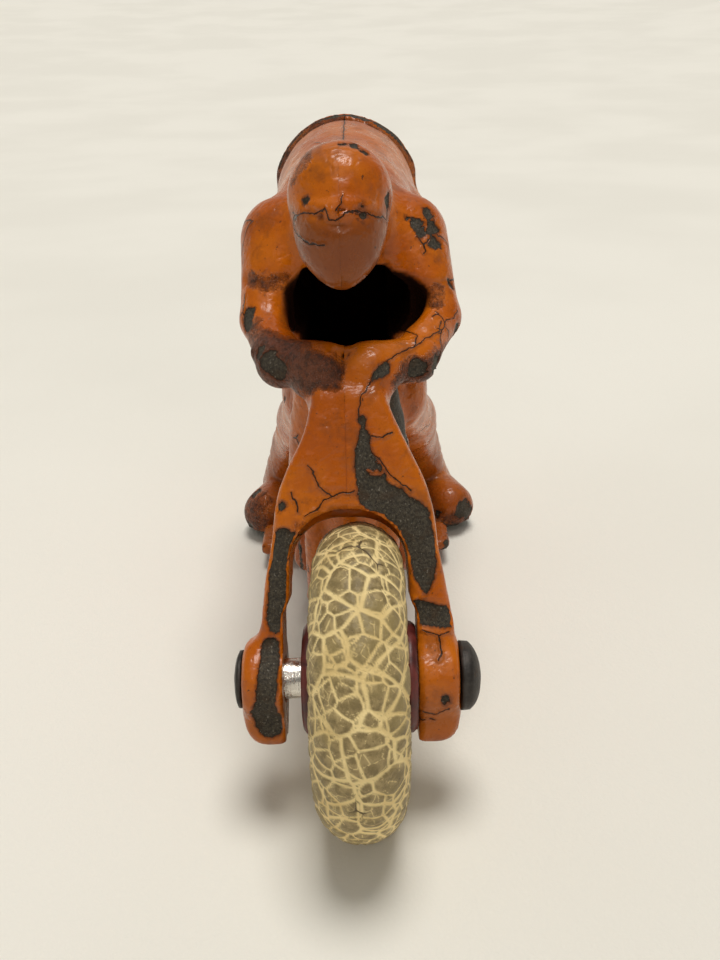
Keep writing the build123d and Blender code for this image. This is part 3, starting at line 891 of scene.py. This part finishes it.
def browned(points):
    """How brown the face is under the edge of the helmet, from 0 to 1."""
    x, y, z = points.T
    return ramp(z - 0.05 * y * y, 60.6, 58.8) * ramp(x, 17.5, 25.5) * ramp(z, 52, 54)


def new_piece(name, points, faces, material, layers):
    """A smooth piece through points in millimetres, with layers of named values at its points."""
    mesh = bpy.data.meshes.new(name)
    mesh.from_pydata((np.array(points) * MM).tolist(), [], faces)
    mesh.polygons.foreach_set("use_smooth", np.ones(len(faces), bool))
    for label, values in layers.items():
        mesh.attributes.new(label, "FLOAT", "POINT").data.foreach_set("value", values.astype(np.float32))
    mesh.materials.append(material)
    piece = bpy.data.objects.new(name, mesh)
    bpy.context.scene.collection.objects.link(piece)
    return piece


def casting(clay, core, side, name, material):
    """One half of the sculpt, cut at the middle plane, as a mesh with its surface attributes."""
    y, step = clay.axes[1], clay.step
    keep = slice(np.searchsorted(y, -1.2), None) if side > 0 else slice(None, np.searchsorted(y, 1.2))
    half = np.maximum(clay.field[:, keep, :], (-side * y[keep])[None, :, None])
    grid = openvdb.FloatGrid(FAR)
    grid.copyFromArray(np.ascontiguousarray(half))
    points, quads = grid.convertToQuads(0.0)
    points = points * step + clay.low + (0, step * (keep.start or 0), 0)
    slopes = np.gradient(clay.field, step)
    normals = np.stack([sampled(clay, s, points) for s in slopes], 1)
    # At the middle plane the meshed edge is blunt; it is carried out to where the sculpt's
    # surface meets the plane, so that the halves close up.
    depth = sampled(clay, clay.field, points)
    blunt = (np.abs(points[:, 1]) < 0.7 * step) & (depth > -0.9 * step)
    flat = normals[:, [0, 2]]
    push = -depth / np.maximum((flat**2).sum(1), 0.3)
    points[:, [0, 2]] += np.where(blunt, np.clip(push, -step, step), 0)[:, None] * flat
    points[:, 1] = np.where(blunt, seam_gap * side, points[:, 1])
    normals /= np.linalg.norm(normals, axis=1)[:, None] + 1e-9
    # An edge stands out from the sculpt blurred over about 0.55 mm.
    soft = blurred(clay.field, max(1, round(0.55 / step)))
    edge = sampled(clay, soft, points) / 0.35
    bare, flake = bare_iron(points, normals, np.clip(edge, -1, 1))
    inside = ramp(sampled(core, core.field, points), 0.75, 0.30) * ramp(points[:, 0], 16.2, 13.6)
    bare = np.where(inside > 0.5, -1.0, bare)
    layers = {"bare": bare, "edge": edge, "inside": inside, "flake": flake}
    # Bare iron lies an enamel's thickness below the paint around it.
    points = points - normals * (enamel * ramp(bare, -0.12, 0.16) * (depth > -0.5))[:, None]
    layers.update(soil=soiled(points), brown=browned(points))
    piece = new_piece(name, points, quads.tolist(), material, layers)
    drop_specks(piece)
    piece.data.set_sharp_from_angle(angle=math.radians(48))
    return piece


def drop_specks(piece):
    """Removes loose crumbs of mesh, keeping the largest connected part."""
    mesh = piece.data
    count = len(mesh.vertices)
    ends = np.zeros(len(mesh.edges) * 2, np.int32)
    mesh.edges.foreach_get("vertices", ends)
    a, b = ends[0::2], ends[1::2]
    label = np.arange(count)
    while True:
        low = np.minimum(label[a], label[b])
        grown = label.copy()
        np.minimum.at(grown, a, low)
        np.minimum.at(grown, b, low)
        grown = grown[grown]
        if (grown == label).all():
            break
        label = grown
    names, sizes = np.unique(label, return_counts=True)
    main = names[sizes.argmax()]
    if len(names) > 1:
        work = bmesh.new()
        work.from_mesh(mesh)
        work.verts.ensure_lookup_table()
        bmesh.ops.delete(work, geom=[work.verts[i] for i in np.nonzero(label != main)[0]], context="VERTS")
        work.to_mesh(mesh)
        work.free()


# ---- materials ------------------------------------------------------------------------
class Value:
    """The output of a material's node, which adds, subtracts and multiplies like a number."""

    def __init__(self, shade, socket):
        self.shade, self.socket = shade, socket

    def __add__(self, other):
        return self.shade.math("ADD", self, other)

    def __sub__(self, other):
        return self.shade.math("SUBTRACT", self, other)

    def __rsub__(self, other):
        return self.shade.math("SUBTRACT", other, self)

    def __mul__(self, other):
        return self.shade.math("MULTIPLY", self, other)


class Finish:
    """A node material built by short calls. Any input takes a Value or a plain number."""

    def __init__(self, name):
        self.material = bpy.data.materials.new(name)
        self.material.use_nodes = True
        self.tree = self.material.node_tree
        self.place = self.vector("SCALE", self.node("ShaderNodeTexCoord", output="Object"), scale=1 / MM)

    def put(self, socket, value):
        if isinstance(value, Value):
            self.tree.links.new(value.socket, socket)
        elif socket.type == "RGBA" and len(value) == 3:
            socket.default_value = (*value, 1)
        else:
            socket.default_value = value

    def node(self, kind, inputs=(), output=0, **settings):
        made = self.tree.nodes.new(kind)
        for name, value in settings.items():
            setattr(made, name, value)
        for key, value in dict(inputs).items():
            self.put(made.inputs[key], value)
        return Value(self, made.outputs[output])

    def vector(self, operation, a, b=(0, 0, 0), scale=1.0):
        output = "Value" if operation in ("DOT_PRODUCT", "DISTANCE") else "Vector"
        return self.node("ShaderNodeVectorMath", {0: a, 1: b, 3: scale}, output, operation=operation)

    def math(self, operation, a, b=0.0, clamp=False):
        return self.node("ShaderNodeMath", {0: a, 1: b}, operation=operation, use_clamp=clamp)

    def mix(self, amount, a, b):
        return self.node("ShaderNodeMix", {0: amount, 6: a, 7: b}, 2, data_type="RGBA")

    def span(self, value, low, high, to_low=0.0, to_high=1.0):
        """to_low where value is at low, to_high where it is at high, smooth between."""
        inputs = dict(enumerate((value, low, high, to_low, to_high)))
        return self.node("ShaderNodeMapRange", inputs, interpolation_type="SMOOTHSTEP")

    def noise(self, size, detail=2.0, rough=0.5, place=None, distortion=0.0):
        """Noise from about 0.3 to 0.7, in lumps about size millimetres across."""
        inputs = {"Vector": place or self.place, "Scale": 1 / size, "Detail": detail}
        return self.node("ShaderNodeTexNoise", {**inputs, "Roughness": rough, "Distortion": distortion})

    def wander(self, scale, detail):
        """Three noises at once, as a vector from about 0.3 to 0.7."""
        inputs = {"Vector": self.place, "Scale": scale, "Detail": detail}
        return self.node("ShaderNodeTexNoise", inputs, "Color")

    def cells(self, size, place=None):
        """Distance in millimetres to the borders of random cells about size across."""
        inputs = {"Vector": place or self.place, "Scale": 1 / size, "Randomness": 1.0}
        return self.node("ShaderNodeTexVoronoi", inputs, "Distance", feature="DISTANCE_TO_EDGE") * size

    def attributes(self, *names):
        return [self.node("ShaderNodeAttribute", (), "Fac", attribute_name=name) for name in names]

    def bump(self, height, distance):
        return self.node("ShaderNodeBump", {"Height": height, "Distance": distance * MM, "Strength": 1.0})

    def finish(self, **inputs):
        surface = self.tree.nodes["Principled BSDF"]
        for name, value in inputs.items():
            self.put(surface.inputs[name.replace("_", " ")], value)
        return self.material


def crack_distance(shade, lines, origin, up, out, low, high):
    """Distance in millimetres to the nearest of lines drawn across (Y) and up from origin.

    Only surfaces beyond low along out, and below high along up, take the lines.
    """
    waver = shade.vector("SUBTRACT", shade.wander(0.9, 3.0), (0.5, 0.5, 0.5))
    moved = shade.vector("SUBTRACT", shade.place, origin)
    moved = shade.vector("ADD", moved, shade.vector("SCALE", waver, scale=0.8))
    across, rise, depth = (shade.vector("DOT_PRODUCT", moved, along) for along in ((0, 1, 0), up, out))
    flat = shade.node("ShaderNodeCombineXYZ", {0: across, 1: rise})
    nearest = 5.0
    for line in lines:
        for (ax, ay), (bx, by) in zip(line, line[1:]):
            ex, ey = bx - ax, by - ay
            length2 = ex * ex + ey * ey
            t = shade.vector("DOT_PRODUCT", flat, (ex / length2, ey / length2, 0))
            t = shade.math("SUBTRACT", t, (ax * ex + ay * ey) / length2, clamp=True)
            run = shade.node("ShaderNodeCombineXYZ", {0: t * ex, 1: t * ey})
            at = shade.vector("ADD", run, (ax, ay, 0))
            nearest = shade.math("MINIMUM", nearest, shade.vector("DISTANCE", flat, at))
    return nearest + (shade.span(depth, low, low + 1, 4.0, 0.0) + shade.span(rise, high, high + 1, 0.0, 4.0))


def all_cracks(shade):
    """Distance to the nearest crack: the drawn ones, a web in places, and the joint on the back."""
    fork_plane = ((front_x, 0, axle_z), (-rake_sin, 0, rake_cos), (rake_cos, 0, rake_sin))
    on_fork = crack_distance(shade, fork_cracks, *fork_plane, 0.6, 40)
    on_arms = crack_distance(shade, arm_cracks, *fork_plane, -9, 40)
    on_face = crack_distance(shade, face_cracks, (0, 0, 0), (0, 0, 1), (1, 0, 0), 21, 64)
    warped = shade.vector("ADD", shade.place, shade.vector("SCALE", shade.wander(0.5, 2.0), scale=1.6))
    web = shade.cells(6.0, warped) + (1.0 - shade.span(shade.noise(8.0, 2.0), 0.60, 0.64))
    ahead, across, upward = (shade.node("ShaderNodeSeparateXYZ", {0: shade.place}, i) for i in range(3))
    joint = shade.math("ABSOLUTE", across + (shade.noise(1.4) - 0.5) * 0.5)
    on_back = shade.span(ahead, 9.0, 7.0) * shade.span(upward, 50.0, 52.0)
    nearest = on_fork
    for distance in (on_arms, on_face, web, joint + (1.0 - on_back) * 2.0):
        nearest = shade.math("MINIMUM", nearest, distance)
    return nearest


def enamelled_iron(name):
    shade = Finish(name)
    mix, span, noise = shade.mix, shade.span, shade.noise
    bare, edge, inside = shade.attributes("bare", "edge", "inside")
    flake, soil, brown = shade.attributes("flake", "soil", "brown")
    border = bare + (noise(0.45, 4.0, 0.6) - 0.5) * 0.5
    chip = span(border, -0.03, 0.05)
    medium = noise(2.2, 4.0, 0.6)
    # Dirt and scorched lacquer, and painted shade under the left forearm, in the sleeves' folds, low on the
    # boots and on the hem.
    scorch_and_shade = span(soil + (noise(2.2, 6.0, 0.75) - 0.5) * 1.9, 0.25, 0.85)
    crack = all_cracks(shade)
    line = span(crack, 0.02, 0.095, 1.0, 0.0)
    height = shade.node("ShaderNodeSeparateXYZ", {0: shade.place}, 2)

    # Enamel: browner where thin or scorched, with dirt in cracks; painted shade darkens it in hollows,
    # towards the bottom, and together with the dirt in places.
    colour = mix(span(noise(9.0, 3.0, 0.55), 0.38, 0.64), (0.42, 0.086, 0.0015), (0.53, 0.132, 0.003))
    # Mottled near black: the colour of scorched lacquer, and of the painted shade that goes with it.
    scorch_and_shade_tint = mix(span(noise(0.55, 3.0, 0.7), 0.42, 0.62), (0.105, 0.032, 0.016), (0.015, 0.009, 0.007))
    for amount, tint in (
        (span(medium, 0.5, 0.75, 0.0, 0.45), (0.27, 0.052, 0.004)),
        (span(noise(0.8, 3.0, 0.7), 0.62, 0.74, 0.0, 0.5), (0.16, 0.040, 0.008)),
        # Painted shade: darker in hollows and creases.
        (span(edge, -0.05, -0.75) * 0.72, (0.075, 0.022, 0.007)),
        (span(noise(3.5, 5.0, 0.65), 0.50, 0.68) * 0.45, (0.15, 0.042, 0.010)),
        # Painted shade: darker towards the bottom.
        (span(height, 24.0, 6.0, 0.0, 0.42), (0.15, 0.045, 0.011)),
        (brown * 0.74, (0.125, 0.030, 0.006)),
        # Dirt and scorch, with painted shade where the dirt-and-shade table puts it.
        (scorch_and_shade * 0.88, scorch_and_shade_tint),
        (span(crack, 0.05, 0.50, 0.35, 0.0), (0.17, 0.040, 0.007)),
        (line, (0.03, 0.012, 0.006)),
        (span(border, -0.30, -0.02, 0.0, 0.75), (0.13, 0.034, 0.008)),
        (span(noise(0.5, 2.0), 0.70, 0.76) * 0.8, (0.035, 0.018, 0.010)),
    ):
        colour = mix(amount, colour, tint)

    # Iron: dark grey and sandy, browner at the borders of a patch, with painted glints as bright specks.
    sand = noise(0.28, 3.0, 0.75)
    iron = mix(span(sand, 0.35, 0.70), (0.026, 0.021, 0.015), (0.085, 0.070, 0.048))
    iron = mix(span(medium, 0.52, 0.68, 0.0, 0.6), iron, (0.060, 0.034, 0.017))
    iron = mix(span(bare, 0.0, 0.28, 0.75, 0.0), iron, (0.030, 0.018, 0.010))
    # Painted glints: bright specks on the iron.
    iron = mix(span(noise(0.26, 1.0), 0.66, 0.74) * 0.45, iron, (0.30, 0.27, 0.22))
    colour = mix(chip, colour, iron)
    # Painted shade: the bare iron inside the hollow is made near black for the shade within it.
    colour = mix(inside * 0.97, colour, (0.004, 0.003, 0.0025))

    # Relief: sagging brushed enamel, its thickness at a chip, curled cracks, and sandy iron.
    sag = noise(1.9, 2.0) * 0.34 + scorch_and_shade * noise(0.7, 4.0, 0.7) * 1.1 + noise(0.5, 2.0) * 0.05
    lip = span(flake, 0.0, 0.25, -0.05, 0.0)
    coat = sag + line * -0.30 + lip + span(crack, 0.10, 0.42, 0.10, 0.0)
    rough_iron = sand * 0.34 + noise(1.1, 3.0) * 0.25 - 0.45
    normal = shade.bump(coat + (rough_iron - coat) * chip, 0.55)
    roughness = span(medium, 0.35, 0.70, 0.24, 0.40) + chip * 0.22 + scorch_and_shade * 0.10
    return shade.finish(
        Base_Color=colour,
        Roughness=roughness + inside * 0.4,
        Specular_IOR_Level=0.26 - inside * 0.24,
        Coat_Weight=(1.0 - shade.math("MAXIMUM", chip, inside)) * 0.16,
        Coat_Roughness=0.12,
        Normal=normal,
        Coat_Normal=normal,
    )


def crazed_rubber(name):
    shade = Finish(name)
    mix, span, noise = shade.mix, shade.span, shade.noise
    cream, depth = shade.attributes("cream", "crease")
    soft, broad = noise(1.0, 4.0, 0.65), noise(5.0, 3.0)
    skin = mix(span(soft, 0.36, 0.66), (0.200, 0.146, 0.058), (0.375, 0.280, 0.125))
    skin = mix(span(broad, 0.45, 0.65, 0.0, 0.5), skin, (0.31, 0.235, 0.09))
    pale = mix(span(broad, 0.35, 0.7), (0.86, 0.68, 0.33), (0.70, 0.52, 0.22))
    thread = span(shade.cells(1.15), 0.02, 0.10, 1.0, 0.0) * span(soft, 0.46, 0.58)
    amount = shade.math("MAXIMUM", cream + (soft - 0.5) * 0.55, thread * 0.55)
    colour = mix(span(amount, 0.12, 0.88), skin, pale)
    colour = mix(span(depth, 0.35, 0.8), colour, (0.085, 0.055, 0.022))
    colour = mix(span(noise(0.35, 2.0), 0.68, 0.74) * 0.6, colour, (0.10, 0.075, 0.035))
    return shade.finish(
        Base_Color=colour,
        Roughness=span(cream, 0.0, 1.0, 0.52, 0.72),
        Normal=shade.bump(soft * 0.16 + noise(0.25, 2.0) * 0.07 + thread * -0.05, 0.5),
        Specular_IOR_Level=0.42,
    )


def painted_wood(name):
    shade = Finish(name)
    mix, span, noise = shade.mix, shade.span, shade.noise
    grain = noise(2.5, 4.0, 0.6, distortion=0.8)
    colour = mix(span(grain, 0.35, 0.65), (0.052, 0.008, 0.007), (0.130, 0.018, 0.014))
    colour = mix(span(noise(0.7, 4.0, 0.7), 0.60, 0.70) * 0.7, colour, (0.045, 0.020, 0.012))
    return shade.finish(
        Base_Color=colour,
        Roughness=span(grain, 0.3, 0.7, 0.34, 0.52),
        Normal=shade.bump(grain * 0.3 + noise(0.4, 2.0) * 0.1, 0.3),
    )


def worn_steel(name, dark, bright, shine, orange=0.0):
    """Forged steel: bright where rubbed (attribute rubbed), dark elsewhere, with some orange paint."""
    shade = Finish(name)
    mix, span, noise = shade.mix, shade.span, shade.noise
    (rubbed,) = shade.attributes("rubbed")
    mottle = noise(0.9, 4.0, 0.65)
    base = mix(span(mottle, 0.38, 0.66), dark, tuple(1.9 * c for c in dark))
    base = mix(span(noise(1.3, 4.0, 0.7), 0.55, 0.68, 0.0, 0.6), base, (0.060, 0.028, 0.012))
    if orange:
        base = mix(span(noise(1.7, 4.0, 0.65), 0.50, 0.56, 0.0, orange), base, (0.36, 0.085, 0.006))
    wear = span(rubbed + (mottle - 0.5) * 0.7, 0.3, 0.75)
    turned_place = shade.node("ShaderNodeMapping", {"Vector": shade.place, "Scale": (0.3, 7.0, 0.3)})
    rings = noise(1.0, 3.0, 0.6, turned_place)
    return shade.finish(
        Base_Color=mix(wear, base, bright),
        Metallic=span(wear, 0.0, 1.0, 0.55, 1.0),
        Roughness=span(mottle, 0.3, 0.7, 0.42, 0.62) - wear * shine,
        Normal=shade.bump(mottle * 0.3 + rings * 0.12 + noise(0.3, 2.0) * 0.12, 0.22),
    )


# ---- turned pieces --------------------------------------------------------------------
def turned(name, material, profile, centre, count, shape):
    """A closed profile of (radius, Y) points, turned about a line along Y through centre, (x, z).

    shape takes the points and their outward normals, and returns moved points and named values.
    """
    ring = np.array(profile)
    turns = np.arange(count) * 2 * math.pi / count
    c, s = np.cos(turns)[:, None], np.sin(turns)[:, None]

    def swept(radial, along_y):
        """The ring's radial and Y parts, carried round to every turn."""
        x = radial * c
        return np.stack([x, np.broadcast_to(along_y, x.shape), radial * s], -1).reshape(-1, 3)

    along = np.roll(ring, -1, 0) - np.roll(ring, 1, 0)
    area = np.sum(ring[:, 0] * np.roll(ring[:, 1], -1) - np.roll(ring[:, 0], -1) * ring[:, 1])
    out = np.stack([along[:, 1], -along[:, 0]], 1) * (1 if area > 0 else -1)
    out /= np.linalg.norm(out, axis=1)[:, None] + 1e-9
    points = swept(ring[:, 0], ring[:, 1]) + (centre[0], 0, centre[1])
    points, values = shape(points, swept(out[:, 0], out[:, 1]))
    i, j = np.arange(count)[:, None], np.arange(len(ring))[None, :]
    here, beyond = i * len(ring), (i + 1) % count * len(ring)
    after = (j + 1) % len(ring)
    corners = [here + j, beyond + j, beyond + after, here + after]
    quads = np.stack(corners if area > 0 else [corners[k] for k in (0, 3, 2, 1)], -1).reshape(-1, 4)
    return new_piece(name, points, quads.tolist(), material, values)


def resampled(points, spacing):
    """A closed outline cut into stretches about spacing long, corners kept."""
    made = []
    for a, b in zip(points, points[1:] + points[:1]):
        a, b = np.array(a, float), np.array(b, float)
        steps = max(1, round(np.linalg.norm(b - a) / spacing))
        made += [tuple(a + (b - a) * i / steps) for i in range(steps)]
    return made


def crazed(x0, seed, roll):
    """Crazes a tyre: pale cracks between plates of skin, with a few deep dark creases."""

    def shape(points, normals):
        # The pattern is worked out on the tyre rolled to its own place.
        c, s = math.cos(roll), math.sin(roll)
        rolled = np.array([[c, 0, s], [0, 1, 0], [-s, 0, c]])
        flat = (points - (x0, wheel_y, axle_z)) @ rolled
        up = normals @ rolled
        bend = np.stack([lumps(*flat.T, 5.0, seed + i) for i in range(3)], 1)
        twist = np.stack([lumps(*flat.T, 1.6, seed + 3 + i) for i in range(3)], 1)
        bent = flat + 0.4 * bend + 0.16 * twist
        thin = turbulence(*flat.T, 3.5, seed + 6)
        big, _ = shards(bent, 3.7, seed + 7, 0.85, up)
        middle, _ = shards(bent, 2.4, seed + 8, 0.72, up)
        small, pick = shards(bent, 1.4, seed + 9, 0.8, up)
        some = ramp(turbulence(*flat.T, 4.0, seed + 12), -0.15, 0.45)
        line = bell(big, 0.23 + 0.10 * thin)
        line = np.maximum(line, 0.95 * bell(middle, 0.15 + 0.06 * thin))
        line = np.maximum(line, 0.75 * some * bell(small, 0.10))
        glow = 0.18 * np.exp(-big / 0.5) + 0.10 * np.exp(-middle / 0.3) + 0.15 * (pick > 0.95)
        cream = np.clip(np.maximum(line, glow), 0, 1)
        crease_at, _ = shards(bent + 7.3, 6.5, seed + 10)
        creased = ramp(turbulence(*flat.T, 5.0, seed + 16), 0.25, 0.55) * bell(crease_at, 0.13)
        plates = 0.06 * ramp(middle, 0.0, 0.9) + 0.06 * ramp(big, 0.0, 1.4)
        rise = plates - 0.10 * line - 0.16 * creased + 0.07 * lumps(*flat.T, 2.2, seed + 20) - 0.06
        return points + normals * rise[:, None], {"cream": cream, "crease": creased}

    return shape


def worn(amount, seed, rubbed_within=0.0):
    """Small unevenness of forged or turned work, rubbed bright where |Y| is below rubbed_within."""

    def shape(points, normals):
        x, y, z = points.T
        rise = amount * (lumps(x, y, z, 1.6, seed) + 0.5 * lumps(x, y, z, 0.7, seed + 1)) - amount
        return points + normals * rise[:, None], {"rubbed": (np.abs(y) < rubbed_within).astype(float)}

    return shape


def domed(radius, rim, cap, reach, chamfer):
    """A head's profile beyond |Y| reach, from its edge at the face to its middle."""
    turns = np.linspace(0.25, math.pi / 2, 10)[1:-1]
    arc = [(radius * math.cos(t), reach + rim + cap * math.sin(t)) for t in turns]
    edge = [(radius - chamfer, reach), (radius, reach + 0.5 * chamfer)]
    edge += [(radius - chamfer * 0.3, reach + rim + cap * math.sin(0.25))]
    return edge + arc + [(0.02, reach + rim + cap)]


def pin(name, material, centre, radius, reach, head, peen, shape):
    """A headed pin along Y, its head on the left and its peened end on the right."""
    left = domed(*head, reach, 0.25)
    right = [(r, -y) for r, y in domed(*peen, reach, 0.15)]
    profile = [(radius, -reach), (radius, reach)] + left + right[::-1]
    return turned(name, material, resampled(profile, 0.3), centre, 96, shape)


def tyre_outline(step):
    """Half a circle of tread, two straight walls, and a floor sunk into the hub."""
    half = tyre_width / 2
    shoulder = tyre_radius - half
    floor = hub_radius - tyre_sink
    steps = round(math.pi * half / step)
    outline = arc_through((shoulder, half), (tyre_radius, 0), (shoulder, -half), steps)[:-1]
    count = round((shoulder - floor) / 0.35)
    wall = [shoulder - (shoulder - floor) * i / count for i in range(count + 1)]
    outline += [(r, -half) for r in wall] + [(r, half) for r in wall[:0:-1]]
    return [(r, y + wheel_y) for r, y in outline]


def hub_outline():
    """A spool on the axle: a flange each side of the tyre's floor, edges eased by 0.4."""
    half, seat = hub_width / 2, tyre_width / 2
    bore = bore_radius + 0.05
    side = [(bore, half - 0.1), (bore + 0.2, half), (hub_radius - 0.4, half), (hub_radius, half - 0.4)]
    side += [(hub_radius, seat + 0.02), (hub_seat_radius, seat)]
    outline = resampled([(bore, 0.1 - half)] + side + [(r, -y) for r, y in side[:0:-1]], 0.3)
    return [(r + 0.04 * math.sin(9 * y) * (r > 5), y + wheel_y) for r, y in outline]


# ---- build it all ---------------------------------------------------------------------
bpy.context.scene.view_settings.view_transform = "Standard"
clay, core = sculpt_castings(0.40)
iron_left = enamelled_iron("enamelled iron, left")
iron_right = enamelled_iron("enamelled iron, right")
for side, name, material, slot in (
    (1, "body_left", iron_left, "enamelled_iron_left"),
    (-1, "body_right", iron_right, "enamelled_iron_right"),
):
    piece = casting(clay, core, side, "cast_" + name, material)
    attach(piece, "chassis")
    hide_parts(name)

rubber = crazed_rubber("crazed rubber")
wood = painted_wood("painted wood")
axle_steel = worn_steel("axle steel", (0.030, 0.026, 0.023), (0.72, 0.68, 0.62), 0.28)
rivet_steel = worn_steel("rivet steel", (0.045, 0.036, 0.028), (0.25, 0.22, 0.18), 0.1, orange=0.8)
tread_step = 0.18
tread_count = round(2 * math.pi * tyre_radius / tread_step)
axle_head, axle_peen, rivet_head = (3.55, 0.6, 1.7), (3.0, 0.3, 0.7), (2.5, 0.2, 0.9)
for end, x0, seed, roll in (("front", front_x, 200, 0.35), ("rear", rear_x, 300, 1.9)):
    centre = (x0, axle_z)
    shape = crazed(x0, seed, roll)
    tyre = turned("crazed_tyre_" + end, rubber, tyre_outline(tread_step), centre, tread_count, shape)
    hub = turned("turned_hub_" + end, wood, hub_outline(), centre, 120, worn(0.02, seed + 30))
    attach(tyre, end + "_wheel")
    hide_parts(end + "_tyre")
    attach(hub, end + "_wheel")
    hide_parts(end + "_hub")
    shape = worn(0.035, seed + 40, cheek_inner + 0.2)
    reach = cheek_outer + 0.05
    axle = pin("headed_axle_" + end, axle_steel, centre, axle_radius, reach, axle_head, axle_peen, shape)
    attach(axle, end + "_axle")
    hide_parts(end + "_axle")
for i, (name, (x0, z0, pad)) in enumerate(rivets.items()):
    shape = worn(0.035, 400 + 10 * i)
    reach = pad + 0.02
    rivet = pin("worn_" + name, rivet_steel, (x0, z0), rivet_radius, reach, rivet_head, rivet_head, shape)
    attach(rivet, "chassis")
    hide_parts(name)


# ---- stage ----------------------------------------------------------------------------
def card():
    shade = Finish("card")
    tone = shade.span(shade.noise(140.0, 3.0), 0.35, 0.65)
    colour = shade.mix(tone, (0.79, 0.768, 0.70), (0.83, 0.808, 0.74))
    speck = shade.span(shade.noise(1.6, 1.0), 0.80, 0.84, 0.0, 0.10)
    colour = shade.mix(speck, colour, (0.35, 0.32, 0.28))
    normal = shade.bump(shade.noise(0.5, 2.0), 0.06)
    return shade.finish(Base_Color=colour, Roughness=0.9, Normal=normal, Specular_IOR_Level=0.15)


def backdrop():
    """A pale sheet, flat under the toy, that rises gently on all sides far away from it."""
    rings = [(600, 0), (800, 6), (1100, 30), (2000, 140), (4000, 420), (4500, 1100)]
    count = 72
    points = [(0.0, 0.0, 0.0)]
    faces = []
    for ring, (radius, z) in enumerate(rings):
        low, high = 1 + (ring - 1) * count, 1 + ring * count
        for i in range(count):
            c, s = cos_sin(360 * i / count)
            points.append((radius * c, radius * s, z))
            j = (i + 1) % count
            faces.append((low + i, high + i, high + j, low + j) if ring else (0, high + i, high + j))
    piece = new_piece("backdrop", points, faces, card(), {})


def daylight(name, toward, spread, strength, colour):
    """Soft light from far away, from the direction toward, spread degrees across."""
    lamp = bpy.data.lights.new(name, "SUN")
    lamp.angle = math.radians(spread)
    lamp.energy = strength
    lamp.color = colour
    piece = bpy.data.objects.new(name, lamp)
    piece.rotation_euler = Vector(toward).to_track_quat("Z", "Y").to_euler()
    piece.location = Vector(toward) * 2
    bpy.context.scene.collection.objects.link(piece)


def room():
    """Light from all round: bright overhead, pale behind the toy, dim behind the camera."""
    world = bpy.data.worlds.new("room")
    world.use_nodes = True
    tree = world.node_tree
    where = tree.nodes.new("ShaderNodeTexCoord").outputs["Generated"]
    total = tree.nodes.new("ShaderNodeMath")
    for i, (direction, low, high, dim, bright) in enumerate(
        [((0.35, 0.0, 0.94), 0.10, 0.80, 0.10, 0.19), ((-1.0, 0.0, 0.15), 0.45, 0.95, 0.0, 0.40)]
    ):
        dot = tree.nodes.new("ShaderNodeVectorMath")
        dot.operation = "DOT_PRODUCT"
        dot.inputs[1].default_value = direction
        tree.links.new(where, dot.inputs[0])
        span = tree.nodes.new("ShaderNodeMapRange")
        span.interpolation_type = "SMOOTHSTEP"
        tree.links.new(dot.outputs["Value"], span.inputs[0])
        for socket, v in zip(span.inputs[1:], (low, high, dim, bright)):
            socket.default_value = v
        tree.links.new(span.outputs[0], total.inputs[i])
    sky = tree.nodes["Background"]
    sky.inputs["Color"].default_value = (1.0, 0.98, 0.94, 1)
    tree.links.new(total.outputs[0], sky.inputs["Strength"])
    bpy.context.scene.world = world


def camera():
    """It looks back and 27 degrees down; the toy leans 1.35 degrees to its right."""
    tilt, yaw, lean = math.radians(27), math.radians(0.1), math.radians(1.35)
    ahead = Vector((-math.cos(tilt), 0, -math.sin(tilt)))
    right = Vector((0, 1, 0))
    above = Vector((-math.sin(tilt), 0, math.cos(tilt)))
    aim = ahead * math.cos(yaw) + right * math.sin(yaw)
    right = right * math.cos(yaw) - ahead * math.sin(yaw)
    turn = Matrix((right, above, -aim)).transposed().to_4x4()
    turn.translation = Vector((0.10614, 0.00035, 0.07409))
    lens = bpy.data.cameras.new("camera")
    lens.sensor_width = 36
    lens.lens = 31.875
    lens.clip_start = 0.001
    piece = bpy.data.objects.new("camera", lens)
    piece.matrix_world = Matrix.Rotation(-lean, 4, "X") @ turn
    bpy.context.scene.collection.objects.link(piece)
    bpy.context.scene.camera = piece


backdrop()
room()
daylight("ceiling", (-0.04, 0.06, 0.98), 25, 2.12, (1.0, 0.975, 0.93))
daylight("front", (0.52, 0.10, 0.85), 50, 0.24, (1.0, 0.975, 0.93))
daylight("lamp", (0.62, -0.04, 0.78), 3, 0.13, (1.0, 0.95, 0.86))
camera()
